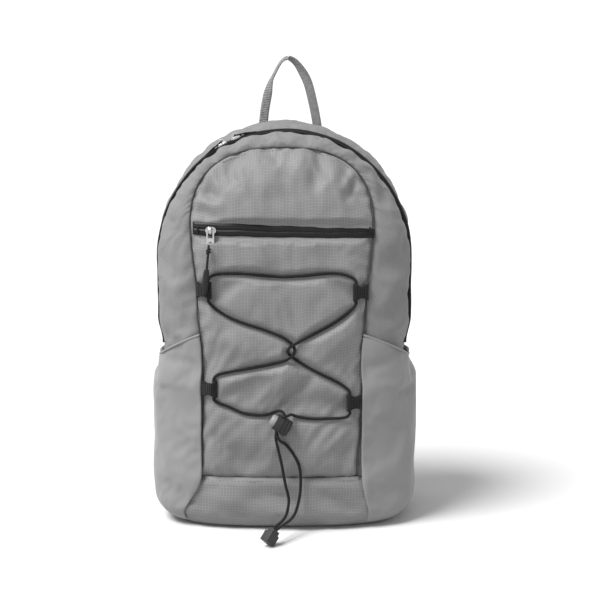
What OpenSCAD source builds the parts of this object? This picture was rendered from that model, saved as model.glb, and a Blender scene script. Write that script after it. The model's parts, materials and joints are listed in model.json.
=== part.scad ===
// Daypack with a U-shaped main zip, a laced front panel and two side pockets.
// Frame: millimetres, +Z up, origin at the centre of the base's flat resting face,
// front towards -Y, wearer's back towards +Y.

/* [Body] */
// Radius of the arch that the main zip follows, and half the pack's width
zip_arch_r = 131; // [115:1:158]
// Height of the centre of the zip's arch
zip_centre_z = 277; // [235:1:333]
// Depth from the zip to the front face, where it is fullest
front_depth = 71; // [59:1:86]
// Depth from the zip back to the back panel
rear_depth = 65; // [54:1:78]
// Half width of the back panel
back_half_w = 118; // [98:1:130]
// Height of the base panel's seam
base_h = 57; // [47:1:69]
// Radius that rounds the edge of the base
base_edge_r = 22; // [16:1:26]
// Thickness of a fabric wall with its lining
wall = 2; // [1.6:0.1:2.4]

/* [Front panel] */
// Half width of the ripstop front panel at its widest
panel_half_w = 95; // [80:1:100]
// How far the front panel's top seam lies below the zip
panel_drop = 15; // [12:1:18]
// Height of the fold that the opened front turns about
fold_z = 210; // [200:1:218]

/* [Front pocket] */
// Length of the front pocket's zip band
pocket_zip_len = 184; // [156:1:186]
// Height of the coated zip band
pocket_zip_h = 13; // [11:0.5:15]
// Height of the front pocket's zip above the base
pocket_zip_z = 311; // [300:1:318]

/* [Side pockets] */
// Clear gap between the body and a side pocket at the corner
pocket_gap = 6.8; // [6.2:0.1:8]
// Height of a side pocket's mouth at the side
pocket_mouth_z = 180; // [160:1:185]
// Rise of the mouth from the side to the front seam
pocket_mouth_rise = 26; // [20:1:30]

/* [Handle and straps] */
// Height of the grab handle above the top of the pack
handle_rise = 65; // [55:1:78]
// Distance between the handle's feet
handle_span = 57; // [48:1:68]
// Width of the handle's webbing
handle_w = 10; // [8:0.5:12]
// Width of a shoulder strap
strap_w = 58; // [48:1:68]
// Thickness of a shoulder strap's padding
strap_t = 9; // [7:0.5:11]
// Width of the straps' webbing
webbing_w = 20; // [16:1:22]

/* [Lacing] */
// Diameter of the shock cord
cord_d = 3; // [2.6:0.1:3.4]
// Height of a lacing loop
loop_h = 17; // [14:1:20]
// Travel of the cord lock's button
button_travel = 3; // [2.5:0.1:3.4]

/* [Hidden] */

GREY_RIPSTOP = "#96979a";
GREY_PLAIN = "#8b8c8f";
GREY_DARK = "#5c5d60";
BLACK = "#1f2022";
NICKEL = "#c8c9cb";
BUTTON_GREY = "#b9babc";

zip_y = -5;                    // plane that the main zip lies in
back_y = zip_y + rear_depth;   // inner face of the back
zip_top_z = zip_centre_z + zip_arch_r;
seam_gap = 0.3;                // clearance between pieces sewn edge to edge
tape_half = 4;                 // half the width of the zip's two tapes together
tape_proud = 0.8;              // how far the tape stands out of the fabric
tape_t = 3;
side_bulge = 3;                // how far the rear gusset's middle swells
waist_in = 4.6;                // how much narrower the body is behind the pockets
waist_lo = fold_z - 22;
waist_hi = fold_z + 5;
belly_z = 110;                 // height at which the front is fullest
profile_p = 2.6;               // roundness of the front's side profile
section_p = 3;                 // roundness of the front's plan section
panel_top_z = zip_top_z - panel_drop;
panel_rise = 78;               // height of the rounded upper part of the front panel
panel_p = 2.5;                 // roundness of its upper corners
panel_centre_z = panel_top_z - panel_rise;
panel_low_half_w = panel_half_w - 9;
flap_low_z = fold_z + 35;      // lower edge of the rigid part of the opening front
lower_top_z = waist_lo;      // upper edge of the fixed front
back_centre_z = zip_centre_z + 18;
rear_round = 0.3;              // the base is rounded this much less towards the back
foam_t = 5;
mesh_t = 3;
skin_gap = 0.2;

// ---- general functions -------------------------------------------------------

function lerp(a, b, t) = a + (b - a) * t;
function smooth(t) = let (c = min(1, max(0, t))) c * c * (3 - 2 * c);
function unit(v) = v / norm(v);
function reversed(list) = [for (i = [len(list) - 1 : -1 : 0]) list[i]];

// A closed solid over a stack of closed loops that all have the same count. Its two
// end faces are flat outlines, or a strip between the two sides of a thin sheet.
module skin(loops, thin = false) {
    rows = len(loops);
    cols = len(loops[0]);
    half = floor(cols / 2);
    last = (rows - 1) * cols;
    first_face = thin
        ? [for (j = [0 : half - 2]) each [[j, j + 1, cols - 2 - j], [j, cols - 2 - j, cols - 1 - j]]]
        : [[for (j = [0 : cols - 1]) j]];
    polyhedron(
        points = [for (loop = loops) each loop],
        faces = concat(
            first_face,
            [for (i = [0 : rows - 2]) for (j = [0 : cols - 1])
                let (k = (j + 1) % cols, a = i * cols, b = a + cols)
                each [[a + j, b + j, b + k], [a + j, b + k, a + k]]],
            [for (face = first_face) [for (j = reversed(face)) last + j]]
        ),
        convexity = 8
    );
}

// A thick sheet: each row is its outer points, then its inner points backwards.
module sheet(outer_rows, inner_rows) {
    skin([for (i = [0 : len(outer_rows) - 1]) concat(outer_rows[i], reversed(inner_rows[i]))],
         thin = true);
}

// Points between hand-chosen points, on a smooth Catmull-Rom curve.
function spline_at(p, i, t) =
    let (last = len(p) - 1, a = p[max(i - 1, 0)], b = p[i], c = p[min(i + 1, last)],
         d = p[min(i + 2, last)])
    0.5 * ((2 * b) + (c - a) * t + (2 * a - 5 * b + 4 * c - d) * t * t
        + (3 * b - a - 3 * c + d) * t * t * t);
function spline(p, steps) = concat(
    [for (i = [0 : len(p) - 2]) for (k = [0 : steps - 1]) spline_at(p, i, k / steps)],
    [p[len(p) - 1]]);

function tangent(p, i) = unit(p[min(i + 1, len(p) - 1)] - p[max(i - 1, 0)]);
function side_axes(p, i, n) = i == len(p) ? [] :
    let (t = tangent(p, i), m = unit(n - t * (n * t))) concat([m], side_axes(p, i + 1, m));

// A round cord of diameter d along a path.
module tube(path, d, sides = 8) {
    first = side_axes(path, 0, [0.1, 1, 0.1]);
    skin([for (i = [0 : len(path) - 1])
        let (t = tangent(path, i), m = first[i], n = cross(t, m))
        [for (k = [0 : sides - 1]) let (a = -360 * k / sides)
            path[i] + (d / 2) * (cos(a) * m + sin(a) * n)]]);
}

// ---- the pack's surface ------------------------------------------------------

// Half width at the zip's plane, at height z.
function half_w(z, inset = 0) =
    z > zip_centre_z
    ? sqrt(max(0, pow(zip_arch_r - inset, 2) - pow(z - zip_centre_z, 2)))
    : zip_arch_r - inset - base_in(z)
        - waist_in * (1 - smooth((z - waist_lo) / (waist_hi - waist_lo)));
function base_in(z) = z >= base_edge_r ? 0
    : base_edge_r - sqrt(max(0, pow(base_edge_r, 2) - pow(base_edge_r - z, 2)));
// How far the front stands forward of the zip's plane on the centre line.
function depth(z, inset = 0) =
    let (rise = max(0, z - belly_z) / (zip_top_z - inset - belly_z))
    (front_depth - inset - base_in(z)) * pow(max(0, 1 - pow(rise, profile_p)), 1 / profile_p);
function front_y(x, z, inset = 0) =
    let (w = half_w(z, inset), r = w > 0 ? min(1, abs(x) / w) : 1)
    zip_y - depth(z, inset) * pow(max(0, 1 - pow(r, section_p)), 1 / section_p);

// Half width of the ripstop panel at height z.
function panel_w(z) = z > panel_centre_z
    ? panel_half_w * pow(max(0, 1 - pow((z - panel_centre_z) / panel_rise, panel_p)), 1 / panel_p)
    : lerp(panel_low_half_w, panel_half_w, smooth((z - fold_z) / (panel_centre_z - fold_z)));

// A point of an arch, u from its lower right end to its lower left end.
// Each leg takes the share LEG of u.
LEG = 0.2;
function arch(u, low_z, leg_w, w, centre_z, rise, p) =
    u < LEG ? [leg_w(lerp(low_z, centre_z, u / LEG)), lerp(low_z, centre_z, u / LEG)]
    : u > 1 - LEG ? [-leg_w(lerp(low_z, centre_z, (1 - u) / LEG)),
                     lerp(low_z, centre_z, (1 - u) / LEG)]
    : let (f = 180 * (u - LEG) / (1 - 2 * LEG), c = cos(f), s = max(0, sin(f)))
      [w * sign(c) * pow(abs(c), 2 / p), centre_z + rise * pow(s, 2 / p)];

function zip_arch(u, low_z, inset = 0) = arch(u, low_z, function(z) half_w(z, inset),
    zip_arch_r - inset, zip_centre_z, zip_arch_r - inset, 2);
function panel_arch(u, low_z) = arch(u, low_z, function(z) panel_w(z),
    panel_half_w, panel_centre_z, panel_rise, panel_p);
function back_arch(u, low_z, inset = 0) = arch(u, low_z,
    function(z) back_half_w - inset - base_in(z), back_half_w - inset, back_centre_z,
    back_half_w - inset, 2);

// A point of the rear gusset: t is 0 at the zip and 1 at the back panel.
function arc_share(u) = min(1, max(0, (u - LEG) / (1 - 2 * LEG)));
function rear_bulge(u, t) = (side_bulge + 4 * sin(180 * arc_share(u))) * sin(180 * t);
function rear_point(u, t, low_z, inset) =
    let (a = zip_arch(u, low_z, inset), b = back_arch(u, low_z, inset),
         m = a + (b - a) * t * t, out = unit([m[0], max(0, m[1] - zip_centre_z)]),
         q = m + out * rear_bulge(u, t))
    [q[0], lerp(zip_y, back_y, t), q[1]];

ARCH_STEPS = 52;

module rear_shell() {
    ts = [for (k = [0 : 7]) lerp((tape_half + seam_gap) / rear_depth, 1 - seam_gap / rear_depth, k / 7)];
    us = [for (i = [0 : ARCH_STEPS]) i / ARCH_STEPS];
    color(GREY_PLAIN)
    sheet([for (u = us) [for (t = ts) rear_point(u, t, base_h + seam_gap, 0)]],
          [for (u = us) [for (t = ts) rear_point(u, t, base_h + seam_gap, wall)]]);
}

// A row of the front surface between two values of x, at one height.
function front_row(z, x0, x1, n, inset) =
    [for (k = [0 : n]) let (x = lerp(x0, x1, k / n)) [x, front_y(x, z, inset), z]];
// A row right round the front to behind the zip's plane, closer together at the sides.
function round_row(z, n, inset) = let (w = half_w(z, inset)) concat(
    [[-w, zip_y + tape_half, z]],
    [for (k = [0 : n]) let (x = w * sin(lerp(-89, 89, k / n))) [x, front_y(x, z, inset), z]],
    [[w, zip_y + tape_half, z]]);

module lower_front() {
    zs = [for (i = [0 : 10]) lerp(base_h + seam_gap, lower_top_z, i / 10)];
    color(GREY_RIPSTOP)
    sheet([for (z = zs) round_row(z, 28, 0)], [for (z = zs) round_row(z, 28, wall)]);
}

// The strip of cloth that bends as the front opens.
module front_fold() {
    zs = [for (i = [0 : 5]) lerp(lower_top_z + seam_gap, flap_low_z - seam_gap, i / 5)];
    color(GREY_RIPSTOP)
    sheet([for (z = zs) fold_row(z, 28, 0)], [for (z = zs) fold_row(z, 28, wall)]);
}
// As round_row, but stopping short of the zip's tape.
function fold_row(z, n, inset) =
    let (w = half_w(z, inset) * pow(1 - pow(gusset_start(z), section_p), 1 / section_p))
    [for (k = [0 : n]) let (x = w * sin(lerp(-90, 90, k / n))) [x, front_y(x, z, inset), z]];
// Share of the depth that the tape covers, from the zip's plane forward.
function gusset_start(z) = (tape_half + seam_gap) / depth(z, wall);

// A point of the front gusset: t is 0 at the zip's tape and 1 at the panel's seam.
function gusset_point(u, t, inset) =
    let (a = zip_arch(u, flap_low_z, inset), b = panel_arch(u, flap_low_z),
         q = a + (b - a) * pow(t, 1.6), y = front_y(q[0], q[1], inset))
    [q[0], min(y, zip_y - tape_half - seam_gap), q[1]];

module front_gusset() {
    us = [for (i = [0 : ARCH_STEPS]) i / ARCH_STEPS];
    ts = [0, 0.12, 0.24, 0.38, 0.54, 0.72, 0.985];
    color(GREY_PLAIN)
    sheet([for (u = us) reversed([for (t = ts) gusset_point(u, t, 0)])],
          [for (u = us) reversed([for (t = ts) gusset_point(u, t, wall)])]);
}

module front_panel() {
    zs = [for (i = [0 : 16]) lerp(flap_low_z, panel_top_z - 0.5, sin(90 * i / 16))];
    color(GREY_RIPSTOP)
    sheet([for (z = zs) let (w = panel_w(z) - seam_gap) front_row(z, -w, w, 16, 0)],
          [for (z = zs) let (w = panel_w(z) - seam_gap) front_row(z, -w, w, 16, wall)]);
}

// ---- base ---------------------------------------------------------------------

// Half width behind the zip's plane: t is 0 at the zip and 1 at the back.
function rear_x(z, t, inset = 0) =
    lerp(half_w(z, inset), back_half_w - inset - base_in(z), t * t) + side_bulge * sin(180 * t);
// A closed loop right round the pack at height z: the front, then the rear.
function base_loop(z, inset) =
    let (w = half_w(z, inset), d = rear_depth - inset - rear_round * base_in(z),
         rear = [for (k = [1 : 5]) [rear_x(z, k / 5, inset), zip_y + d * k / 5, z]])
    concat(
        [for (k = [0 : 28]) let (x = w * sin(lerp(-90, 90, k / 28))) [x, front_y(x, z, inset), z]],
        rear,
        [for (q = reversed(rear)) [-q[0], q[1], q[2]]]
    );

module base_panel() {
    up = [0, 1.5, 5, 10, 16, base_edge_r, base_h];
    floor_z = 4;
    down = [base_h, base_edge_r, 14, 8, floor_z];
    color(GREY_RIPSTOP)
    skin(concat([for (z = up) base_loop(z, 0)], [for (z = down) base_loop(z, wall)]));
}

// ---- back ---------------------------------------------------------------------

// The back's outline in X and Z, drawn in a layer from y0 to y0 + t.
module back_slab(y0, t, inset, low_z) {
    w = back_half_w - inset;
    corner = 24;
    translate([0, y0 + t, 0]) rotate([90, 0, 0]) linear_extrude(t) {
        translate([0, back_centre_z]) circle(w, $fn = 96);
        translate([-w, low_z + corner]) square([2 * w, back_centre_z - low_z - corner]);
        translate([corner - w, low_z]) square([2 * (w - corner), 2 * corner]);
        for (s = [-1, 1]) translate([s * (w - corner), low_z + corner]) circle(corner, $fn = 48);
    }
}

module back_lining() {
    color(GREY_DARK) back_slab(back_y - wall, wall - skin_gap, wall + seam_gap + 1, base_h + 1);
}

module back_foam() {
    color(BLACK) back_slab(back_y + skin_gap, foam_t, 6, base_edge_r + 8);
}

foam_rear_y = back_y + skin_gap + foam_t;
module back_mesh() {
    color(GREY_DARK) back_slab(foam_rear_y + skin_gap, mesh_t, 0, base_edge_r);
}
back_face_y = foam_rear_y + skin_gap + mesh_t;

// ---- side pockets -------------------------------------------------------------

// How far the pocket stands off the body at height z. Its elastic mouth draws in.
POCKET_V = 14;
function pocket_in(z, inset) =
    pocket_gap * smooth(z / 30) * (1 - 0.3 * smooth((z - 150) / 25)) + wall - inset;
// A point of the pocket: v is 0 at the front seam, and 1 at the seam near the back.
sewn_gap = 0.5;                // clearance to the body where the pocket is sewn on
seam_angle = 52;               // where the front seam lies on the plan section
pocket_turn = 0.5;             // v at the zip's plane
pocket_rear = 0.82;            // share of the rear depth that the pocket covers
function pocket_point(z, v, inset) =
    let (lift = pocket_in(z, inset) * pow(sin(180 * min(0.5, v + 0.06)), 0.7) + sewn_gap,
         turn = -seam_angle * (1 - v / pocket_turn),
         t = pocket_rear * (v - pocket_turn) / (1 - pocket_turn),
         w = half_w(z) + lift, d = depth(z) + lift * 0.8)
    v < pocket_turn
    ? [w * pow(cos(turn), 2 / section_p), zip_y - d * pow(-sin(turn), 2 / section_p), z]
    : [rear_x(z, t) + lift, zip_y + (rear_depth - rear_round * base_in(z)) * t, z];

// Height of the pocket's mouth at v, higher at the front seam.
function mouth_z(v) = pocket_mouth_z + pocket_mouth_rise * pow(max(0, 1 - 2.2 * v), 1.2) - 6 * v;

module side_pocket(side) {
    vs = [for (k = [0 : POCKET_V]) k / POCKET_V];
    ss = [0.006, 0.03, 0.07, 0.12, 0.2, 0.35, 0.5, 0.65, 0.8, 0.9, 1];
    top = hem_h + seam_gap;
    color(GREY_PLAIN) mirror([side < 0 ? 1 : 0, 0, 0])
    sheet([for (v = vs) [for (s = ss) pocket_point((mouth_z(v) - top) * s, v, 0)]],
          [for (v = vs) [for (s = ss) pocket_point((mouth_z(v) - top) * s, v, wall)]]);
}
hem_h = 9;

module pocket_hem(side) {
    vs = [for (k = [0 : POCKET_V]) k / POCKET_V];
    color(GREY_DARK) mirror([side < 0 ? 1 : 0, 0, 0])
    sheet([for (v = vs) [for (s = [0, 0.5, 1]) pocket_point(mouth_z(v) - hem_h * (1 - s), v, -0.4)]],
          [for (v = vs) [for (s = [0, 0.5, 1]) pocket_point(mouth_z(v) - hem_h * (1 - s), v, wall)]]);
}

module side_pocket_left() { side_pocket(-1); }
module side_pocket_right() { side_pocket(1); }
module pocket_hem_left() { pocket_hem(-1); }
module pocket_hem_right() { pocket_hem(1); }

// ---- main zip -----------------------------------------------------------------

// An arch-shaped band in X and Z between two radii, with straight legs.
module arch_band(r_out, r_in, low_z) {
    join = 0.5;                // the legs reach this far up into the arch
    difference() {
        translate([0, zip_centre_z]) circle(r_out, $fn = 120);
        translate([0, zip_centre_z]) circle(r_in, $fn = 120);
        translate([-2 * r_out, zip_centre_z - 2 * r_out]) square([4 * r_out, 2 * r_out]);
    }
    for (x = [-r_out, r_in]) translate([x, low_z]) square([r_out - r_in, zip_centre_z + join - low_z]);
}

module zip_half(y0, y1) {
    translate([0, y1, 0]) rotate([90, 0, 0]) linear_extrude(y1 - y0)
        arch_band(zip_arch_r + tape_proud, zip_arch_r + tape_proud - tape_t, zip_low_z);
}
zip_low_z = fold_z + 6;
zip_split = 0.15;

module main_zip_rear() { color(BLACK) zip_half(zip_y + zip_split, zip_y + tape_half); }
module main_zip_front() { color(BLACK) zip_half(zip_y - tape_half, zip_y - zip_split); }

// The two stitched stops where the zip ends.
module main_zip_stops() {
    stop_h = 7;
    color(BLACK) for (side = [-1, 1])
        translate([side * (zip_arch_r + tape_proud - tape_t / 2), zip_y + tape_half / 2 + zip_split,
                   zip_low_z - seam_gap - stop_h / 2])
            cube([tape_t, tape_half, stop_h], center = true);
}

// ---- main sliders and their pulls ---------------------------------------------

slider_l = 13;
slider_w = 8.5;
slider_t = 2.2;
slider_clear = 1;              // room for the front's tape as it swings out
left_angle = 118.5;            // each slider's place on the arch at rest
right_angle = 112;

// Places its children on the arch, +X along the zip and +Z outwards.
module on_arch(angle) {
    translate([0, zip_y, zip_centre_z]) rotate([0, 90 - angle, 0])
        translate([0, 0, zip_arch_r + tape_proud + slider_clear]) children();
}

// bridge_turn sets which way the bridge is open: 0 across the zip, 90 along it.
module zip_slider(length, width, thick, bridge_turn) {
    bridge_r = 3;
    linear_extrude(thick) hull() for (s = [-1, 1])
        translate([s * (length - width) / 2, 0]) circle(width / 2, $fn = 32);
    translate([0, 0, thick]) rotate([90, 0, bridge_turn]) translate([0, 0, -1.5])
        linear_extrude(3) difference() {
            circle(bridge_r + 1.2, $fn = 40);
            circle(bridge_r - 0.3, $fn = 32);
            translate([-bridge_r - 3, -12]) square([2 * bridge_r + 6, 12]);
        }
}

module main_slider_left() { color(NICKEL) on_arch(left_angle) zip_slider(slider_l, slider_w, slider_t, 0); }
module main_slider_right() { color(NICKEL) on_arch(right_angle) zip_slider(slider_l, slider_w, slider_t, 0); }

pull_pin_z = slider_t + 1.75;
pull_dip = 3;                  // the pulls lie almost along the zip
// A wire frame with a cord loop, hung on the slider's bridge and lying along the zip.
module main_pull(way) {
    frame_l = 11;
    cord_l = 14;
    translate([0, 0, pull_pin_z]) rotate([0, way * pull_dip, 0]) {
        rotate([90, 0, 0]) translate([0, 0, -3]) cylinder(h = 6, r = 0.7, $fn = 24);
        for (s = [-1, 1]) translate([way > 0 ? -0.7 : -frame_l, s * 2.9 - 0.7, -0.7])
            cube([frame_l + 0.7, 1.4, 1.4]);
        translate([way > 0 ? frame_l - 1.4 : -frame_l, -3.6, -0.7]) cube([1.4, 7.2, 1.4]);
        translate([way > 0 ? frame_l - 1.6 : -frame_l - cord_l + 1.6, -2.1, -1.1])
            cube([cord_l, 4.2, 2.2]);
    }
}
module main_pull_left() { color(BLACK) on_arch(left_angle) main_pull(-1); }
module main_pull_right() { color(BLACK) on_arch(right_angle) main_pull(1); }

// ---- front pocket -------------------------------------------------------------

// The coated band, lying on the panel's curve, with the coil's slot behind it.
module pocket_zip_band() {
    xs = [for (k = [0 : 20]) lerp(-pocket_zip_len / 2, pocket_zip_len / 2, k / 20)];
    h = pocket_zip_h / 2;
    t = 1.2;
    color(BLACK)
    skin([for (x = xs) let (y = front_y(x, pocket_zip_z + h) - skin_gap, lean = band_lean(x))
        [[x, y - t, pocket_zip_z + h], [x, y - t - lean, pocket_zip_z - h],
         [x, y - lean, pocket_zip_z - h], [x, y, pocket_zip_z + h]]]);
}
function band_lean(x) = max(0, front_y(x, pocket_zip_z + pocket_zip_h / 2)
    - front_y(x, pocket_zip_z - pocket_zip_h / 2));

// Its two end stops.
module pocket_zip_stops() {
    color(BLACK) for (side = [-1, 1])
        let (x = side * (pocket_zip_len / 2 - 5))
        translate([x, band_front_y(x) - 0.9, pocket_zip_z]) cube([2, 1.2, 6], center = true);
}
function band_front_y(x) = front_y(x, pocket_zip_z) - skin_gap - 2.2;

// The flat bag of the pocket, behind the panel.
module pocket_lining() {
    bag_h = 62;
    bag_t = 1.6;
    zs = [for (i = [0 : 5]) lerp(pocket_zip_z - bag_h, pocket_zip_z + 4, i / 5)];
    hw = pocket_zip_len / 2 - 10;
    color(GREY_DARK)
    sheet([for (z = zs) front_row(z, -hw, hw, 10, wall + skin_gap + 0.4)],
          [for (z = zs) front_row(z, -hw, hw, 10, wall + skin_gap + 0.4 + bag_t)]);
}

// The slider runs on an arc about an upright axis behind the panel, which follows the
// band's curve closely, and it rests near the left end.
run_r = 560;
slider_rest = -7.5;            // degrees along the arc from the middle
slider_lift = 1.2;             // clearance over the band's crown
crown_y = front_y(0, pocket_zip_z - pocket_zip_h / 2) - skin_gap - 1.2;
module on_run() {
    translate([0, crown_y + run_r, 0]) rotate([0, 0, slider_rest])
        translate([0, -run_r - slider_lift, pocket_zip_z]) children();
}

module pocket_slider() {
    color(NICKEL) on_run() rotate([90, 0, 0]) zip_slider(11, 7.5, 1.8, 90);
}

pocket_pin_out = 3.5;          // the pull's pin stands this far out of the slider
tab_len = 17;
tab_eye_r = 2.1;
module pocket_pull_tab() {
    color(NICKEL) on_run() translate([0, -pocket_pin_out, 0]) {
        rotate([0, 90, 0]) translate([0, 0, -3.2]) cylinder(h = 6.4, r = 0.8, $fn = 24);
        for (s = [-1, 1]) translate([s * 3.2 - 0.8, -0.8, -8]) cube([1.6, 1.6, 8.8]);
        translate([0, 0.8, -tab_len + 3.5]) rotate([90, 0, 0]) linear_extrude(1.6) difference() {
            union() {
                circle(4, $fn = 40);
                translate([-4, 0]) square([8, tab_len - 11]);
            }
            circle(tab_eye_r, $fn = 32);
        }
    }
}

// The pull's cord: a loop through the tab's eye with a knot, down to the grip.
pull_cord_d = 2.2;
pull_eye_drop = tab_len - 3.5; // the eye hangs this far below the pin
pull_route = [
    [0, -5, 0], [0, -6, -5], [-1, -8, -11], [-1, -10.5, -18], [-3, -12, -24]
];
module pocket_pull_cord() {
    color(BLACK) on_run() translate([0, -pocket_pin_out, -pull_eye_drop])
        tube(spline(pull_route, 4), 1.4 * pull_cord_d, 8);
}

grip_len = 25;
grip_tilt = 7;
module pocket_pull_grip() {
    foot = pull_route[len(pull_route) - 1];
    color(BLACK) on_run() translate([0, -pocket_pin_out, -pull_eye_drop - seam_gap])
        translate(foot) rotate([0, grip_tilt, 0]) hull() {
            translate([0, 0, -2]) rotate([90, 0, 0]) translate([0, 0, -1.6])
                cylinder(h = 3.2, r = 2, $fn = 28);
            translate([0, 0, -grip_len + 3.5]) rotate([90, 0, 0]) translate([0, 0, -2])
                cylinder(h = 4, r = 3.5, $fn = 32);
        }
}

// ---- lacing loops and cord ----------------------------------------------------

loop_reach = 15;
loop_t = 1.4;
eye_r = cord_d / 2 + 0.5;
loop_lift = eye_r + loop_t + 0.4;
// Each loop: the x and z of its eye. The eye's axis is upright.
UPPER_LEFT = [-76, 251];
UPPER_RIGHT = [73, 249];
LOWER_LEFT = [-71, 150];
LOWER_RIGHT = [67, 136];
function eye_y(p) = min(front_y(p[0], p[1] - loop_h / 2), front_y(p[0], p[1] + loop_h / 2)) - loop_lift;

// A folded webbing loop: a flat tail towards the seam and a round eye for the cord.
module lacing_loop(p) {
    side = sign(p[0]);
    root_y = front_y(p[0] + side * loop_reach, p[1]) - 0.5 - loop_t - eye_y(p);
    ring = eye_r + loop_t;
    color(BLACK) translate([p[0], eye_y(p), p[1] - loop_h / 2])
        mirror([side < 0 ? 1 : 0, 0, 0]) linear_extrude(loop_h) difference() {
            union() {
                circle(ring, $fn = 36);
                polygon([[0, -0.8 * ring], [loop_reach, root_y - loop_t],
                         [loop_reach, root_y + loop_t], [0, 0.8 * ring]]);
            }
            circle(eye_r, $fn = 32);
        }
}
module loop_upper_left() { lacing_loop(UPPER_LEFT); }
module loop_upper_right() { lacing_loop(UPPER_RIGHT); }
module loop_lower_left() { lacing_loop(LOWER_LEFT); }
module loop_lower_right() { lacing_loop(LOWER_RIGHT); }

// Route points are x, z and the lift of the cord's centre off the panel. The cord
// runs from the lock through the loops and back, and its two strands hook each other.
LACING_LEFT = [
    [-10, 127, 3], [-19, 124, 3], [-30, 124, 3], [-42, 126, 3], [-56, 132, 2.5], [-67, 136, 3.5],
    [-71, 139, 0], [-71, 142, 0], [-71, 150, 0], [-71, 158, 0], [-71, 161, 0], [-67, 165, 3.5], [-56, 168, 2.5],
    [-40, 171, 2.5], [-24, 174, 2.5],
    [-10, 177, 2.5], [0, 180, 4.5], [8, 185, 6], [11, 190, 5], [9, 196, 2], [2, 202, 2],
    [-8, 207, 2.3], [-24, 213, 2.5], [-40, 218, 2.5], [-55, 224, 2.5], [-67, 231, 2.5],
    [-74, 237, 3.5], [-76, 240, 0], [-76, 243, 0], [-76, 251, 0], [-76, 259, 0], [-76, 262, 0],
    [-72, 266, 3.5], [-60, 268, 2.5], [-40, 268, 2.5],
    [-18, 266, 2.5], [0, 265, 2.5]
];
LACING_RIGHT = [
    [0, 265, 2.5], [20, 266, 2.5], [40, 268, 2.5], [56, 268, 2.5], [69, 264, 3.5], [73, 260, 0],
    [73, 257, 0], [73, 249, 0], [73, 241, 0], [73, 238, 0], [70, 233, 3.5], [61, 225, 2.5],
    [49, 217, 2.5], [36, 210, 2.5], [24, 204, 3.5], [14, 199, 5.5], [7, 195, 6], [4, 190, 4.5],
    [7, 185, 2], [15, 179, 1.9], [30, 170, 2.3], [46, 162, 2.5], [57, 156, 2.5], [65, 150, 3.5],
    [67, 147, 0], [67, 144, 0], [67, 136, 0], [67, 128, 0], [67, 125, 0], [63, 121, 3.5],
    [48, 120, 2.5], [30, 120, 2.5], [16, 122, 3], [8, 125, 5]
];
// A point with no lift is in a loop's eye.
function lace_point(p, eye) = p[2] == 0
    ? [p[0], eye_y(eye), p[1]]
    : [p[0], front_y(p[0], p[1]) - p[2], p[1]];
function nearest_eye(p) = p[0] < 0 ? (p[1] > 200 ? UPPER_LEFT : LOWER_LEFT)
    : (p[1] > 200 ? UPPER_RIGHT : LOWER_RIGHT);
function surface_path(route) = [for (p = route) lace_point(p, nearest_eye(p))];
// Both strands end in the lock's cross hole, one beside the other.
LEFT_LANE = 1.7;
RIGHT_LANE = -LEFT_LANE;
module lacing_left() {
    color(BLACK) tube(spline(concat(
        [lock_point(LEFT_LANE, -lock_r), lock_point(LEFT_LANE, 0), lock_point(LEFT_LANE, lock_r)],
        [for (p = [[5.3, 3.5, 9], [3, 7, 10.6], [0, 9.9, 10.5]]) [lock_x, lock_y, lock_z] + p],
        surface_path(LACING_LEFT)), 2), cord_d, 8);
}
module lacing_right() {
    color(BLACK) tube(spline(concat(
        surface_path(LACING_RIGHT),
        [for (p = [[11.5, 3, 8], [9, -1, 8]]) [lock_x, lock_y, lock_z] + p],
        [lock_point(RIGHT_LANE, lock_r), lock_point(RIGHT_LANE, 0), lock_point(RIGHT_LANE, -lock_r)]), 2),
        cord_d, 8);
}

// ---- cord lock ----------------------------------------------------------------

lock_x = -5;
lock_z = 118;
lock_tilt = 30;                // its axis falls this much towards the right
lock_r = 8;
lock_top = 4;                  // ends of the barrel along its axis
lock_bottom = -12;
lock_y = front_y(lock_x, lock_z) - lock_r - 5.5;
plunger_r = 6;
plunger_gap = 0.25;
plunger_bottom = -4.8;
spring_floor = -10.5;
hole_z = -1.8;                 // the cords cross the lock's axis here
hole_half = cord_d / 2 + 0.5;

// Places its children with +Z along the lock's axis, towards its button.
module at_lock() {
    translate([lock_x, lock_y, lock_z]) rotate([0, -90 + lock_tilt, 0]) children();
}
// A point in the cross hole's direction: lane is in Y, along is up the hole.
function lock_point(lane, along) =
    let (a = lock_tilt)
    [lock_x + along * sin(a) - hole_z * cos(a), lock_y + lane, lock_z + along * cos(a) + hole_z * sin(a)];

// A ribbed barrel with a blind bore for the plunger and a cross hole for two cords.
module cord_lock_body() {
    slot_w = 2 * (hole_half + LEFT_LANE);
    rib = 1.6;
    color(BLACK) at_lock() difference() {
        union() {
            translate([0, 0, lock_bottom]) cylinder(h = lock_top - lock_bottom, r = lock_r, $fn = 48);
            for (k = [0 : 2]) translate([0, 0, lock_bottom + rib + 3.6 * k])
                cylinder(h = rib, r = lock_r + 0.7, $fn = 48);
        }
        translate([0, 0, spring_floor])
            cylinder(h = lock_top - spring_floor + 1, r = plunger_r + plunger_gap, $fn = 48);
        translate([-2 * lock_r, -slot_w / 2, hole_z - hole_half])
            cube([4 * lock_r, slot_w, 2 * hole_half]);
    }
}

module cord_lock_button() {
    cap_h = 2;
    slot_w = 2 * (hole_half + LEFT_LANE);
    top = lock_top + button_travel;
    color(BUTTON_GREY) at_lock() {
        difference() {
            translate([0, 0, plunger_bottom])
                cylinder(h = top - plunger_bottom, r = plunger_r, $fn = 40);
            translate([-2 * lock_r, -slot_w / 2, hole_z - hole_half])
                cube([4 * lock_r, slot_w, 2 * hole_half + button_travel]);
        }
        translate([0, 0, top]) cylinder(h = cap_h, r1 = plunger_r, r2 = plunger_r - 1.4, $fn = 40);
    }
}

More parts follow.
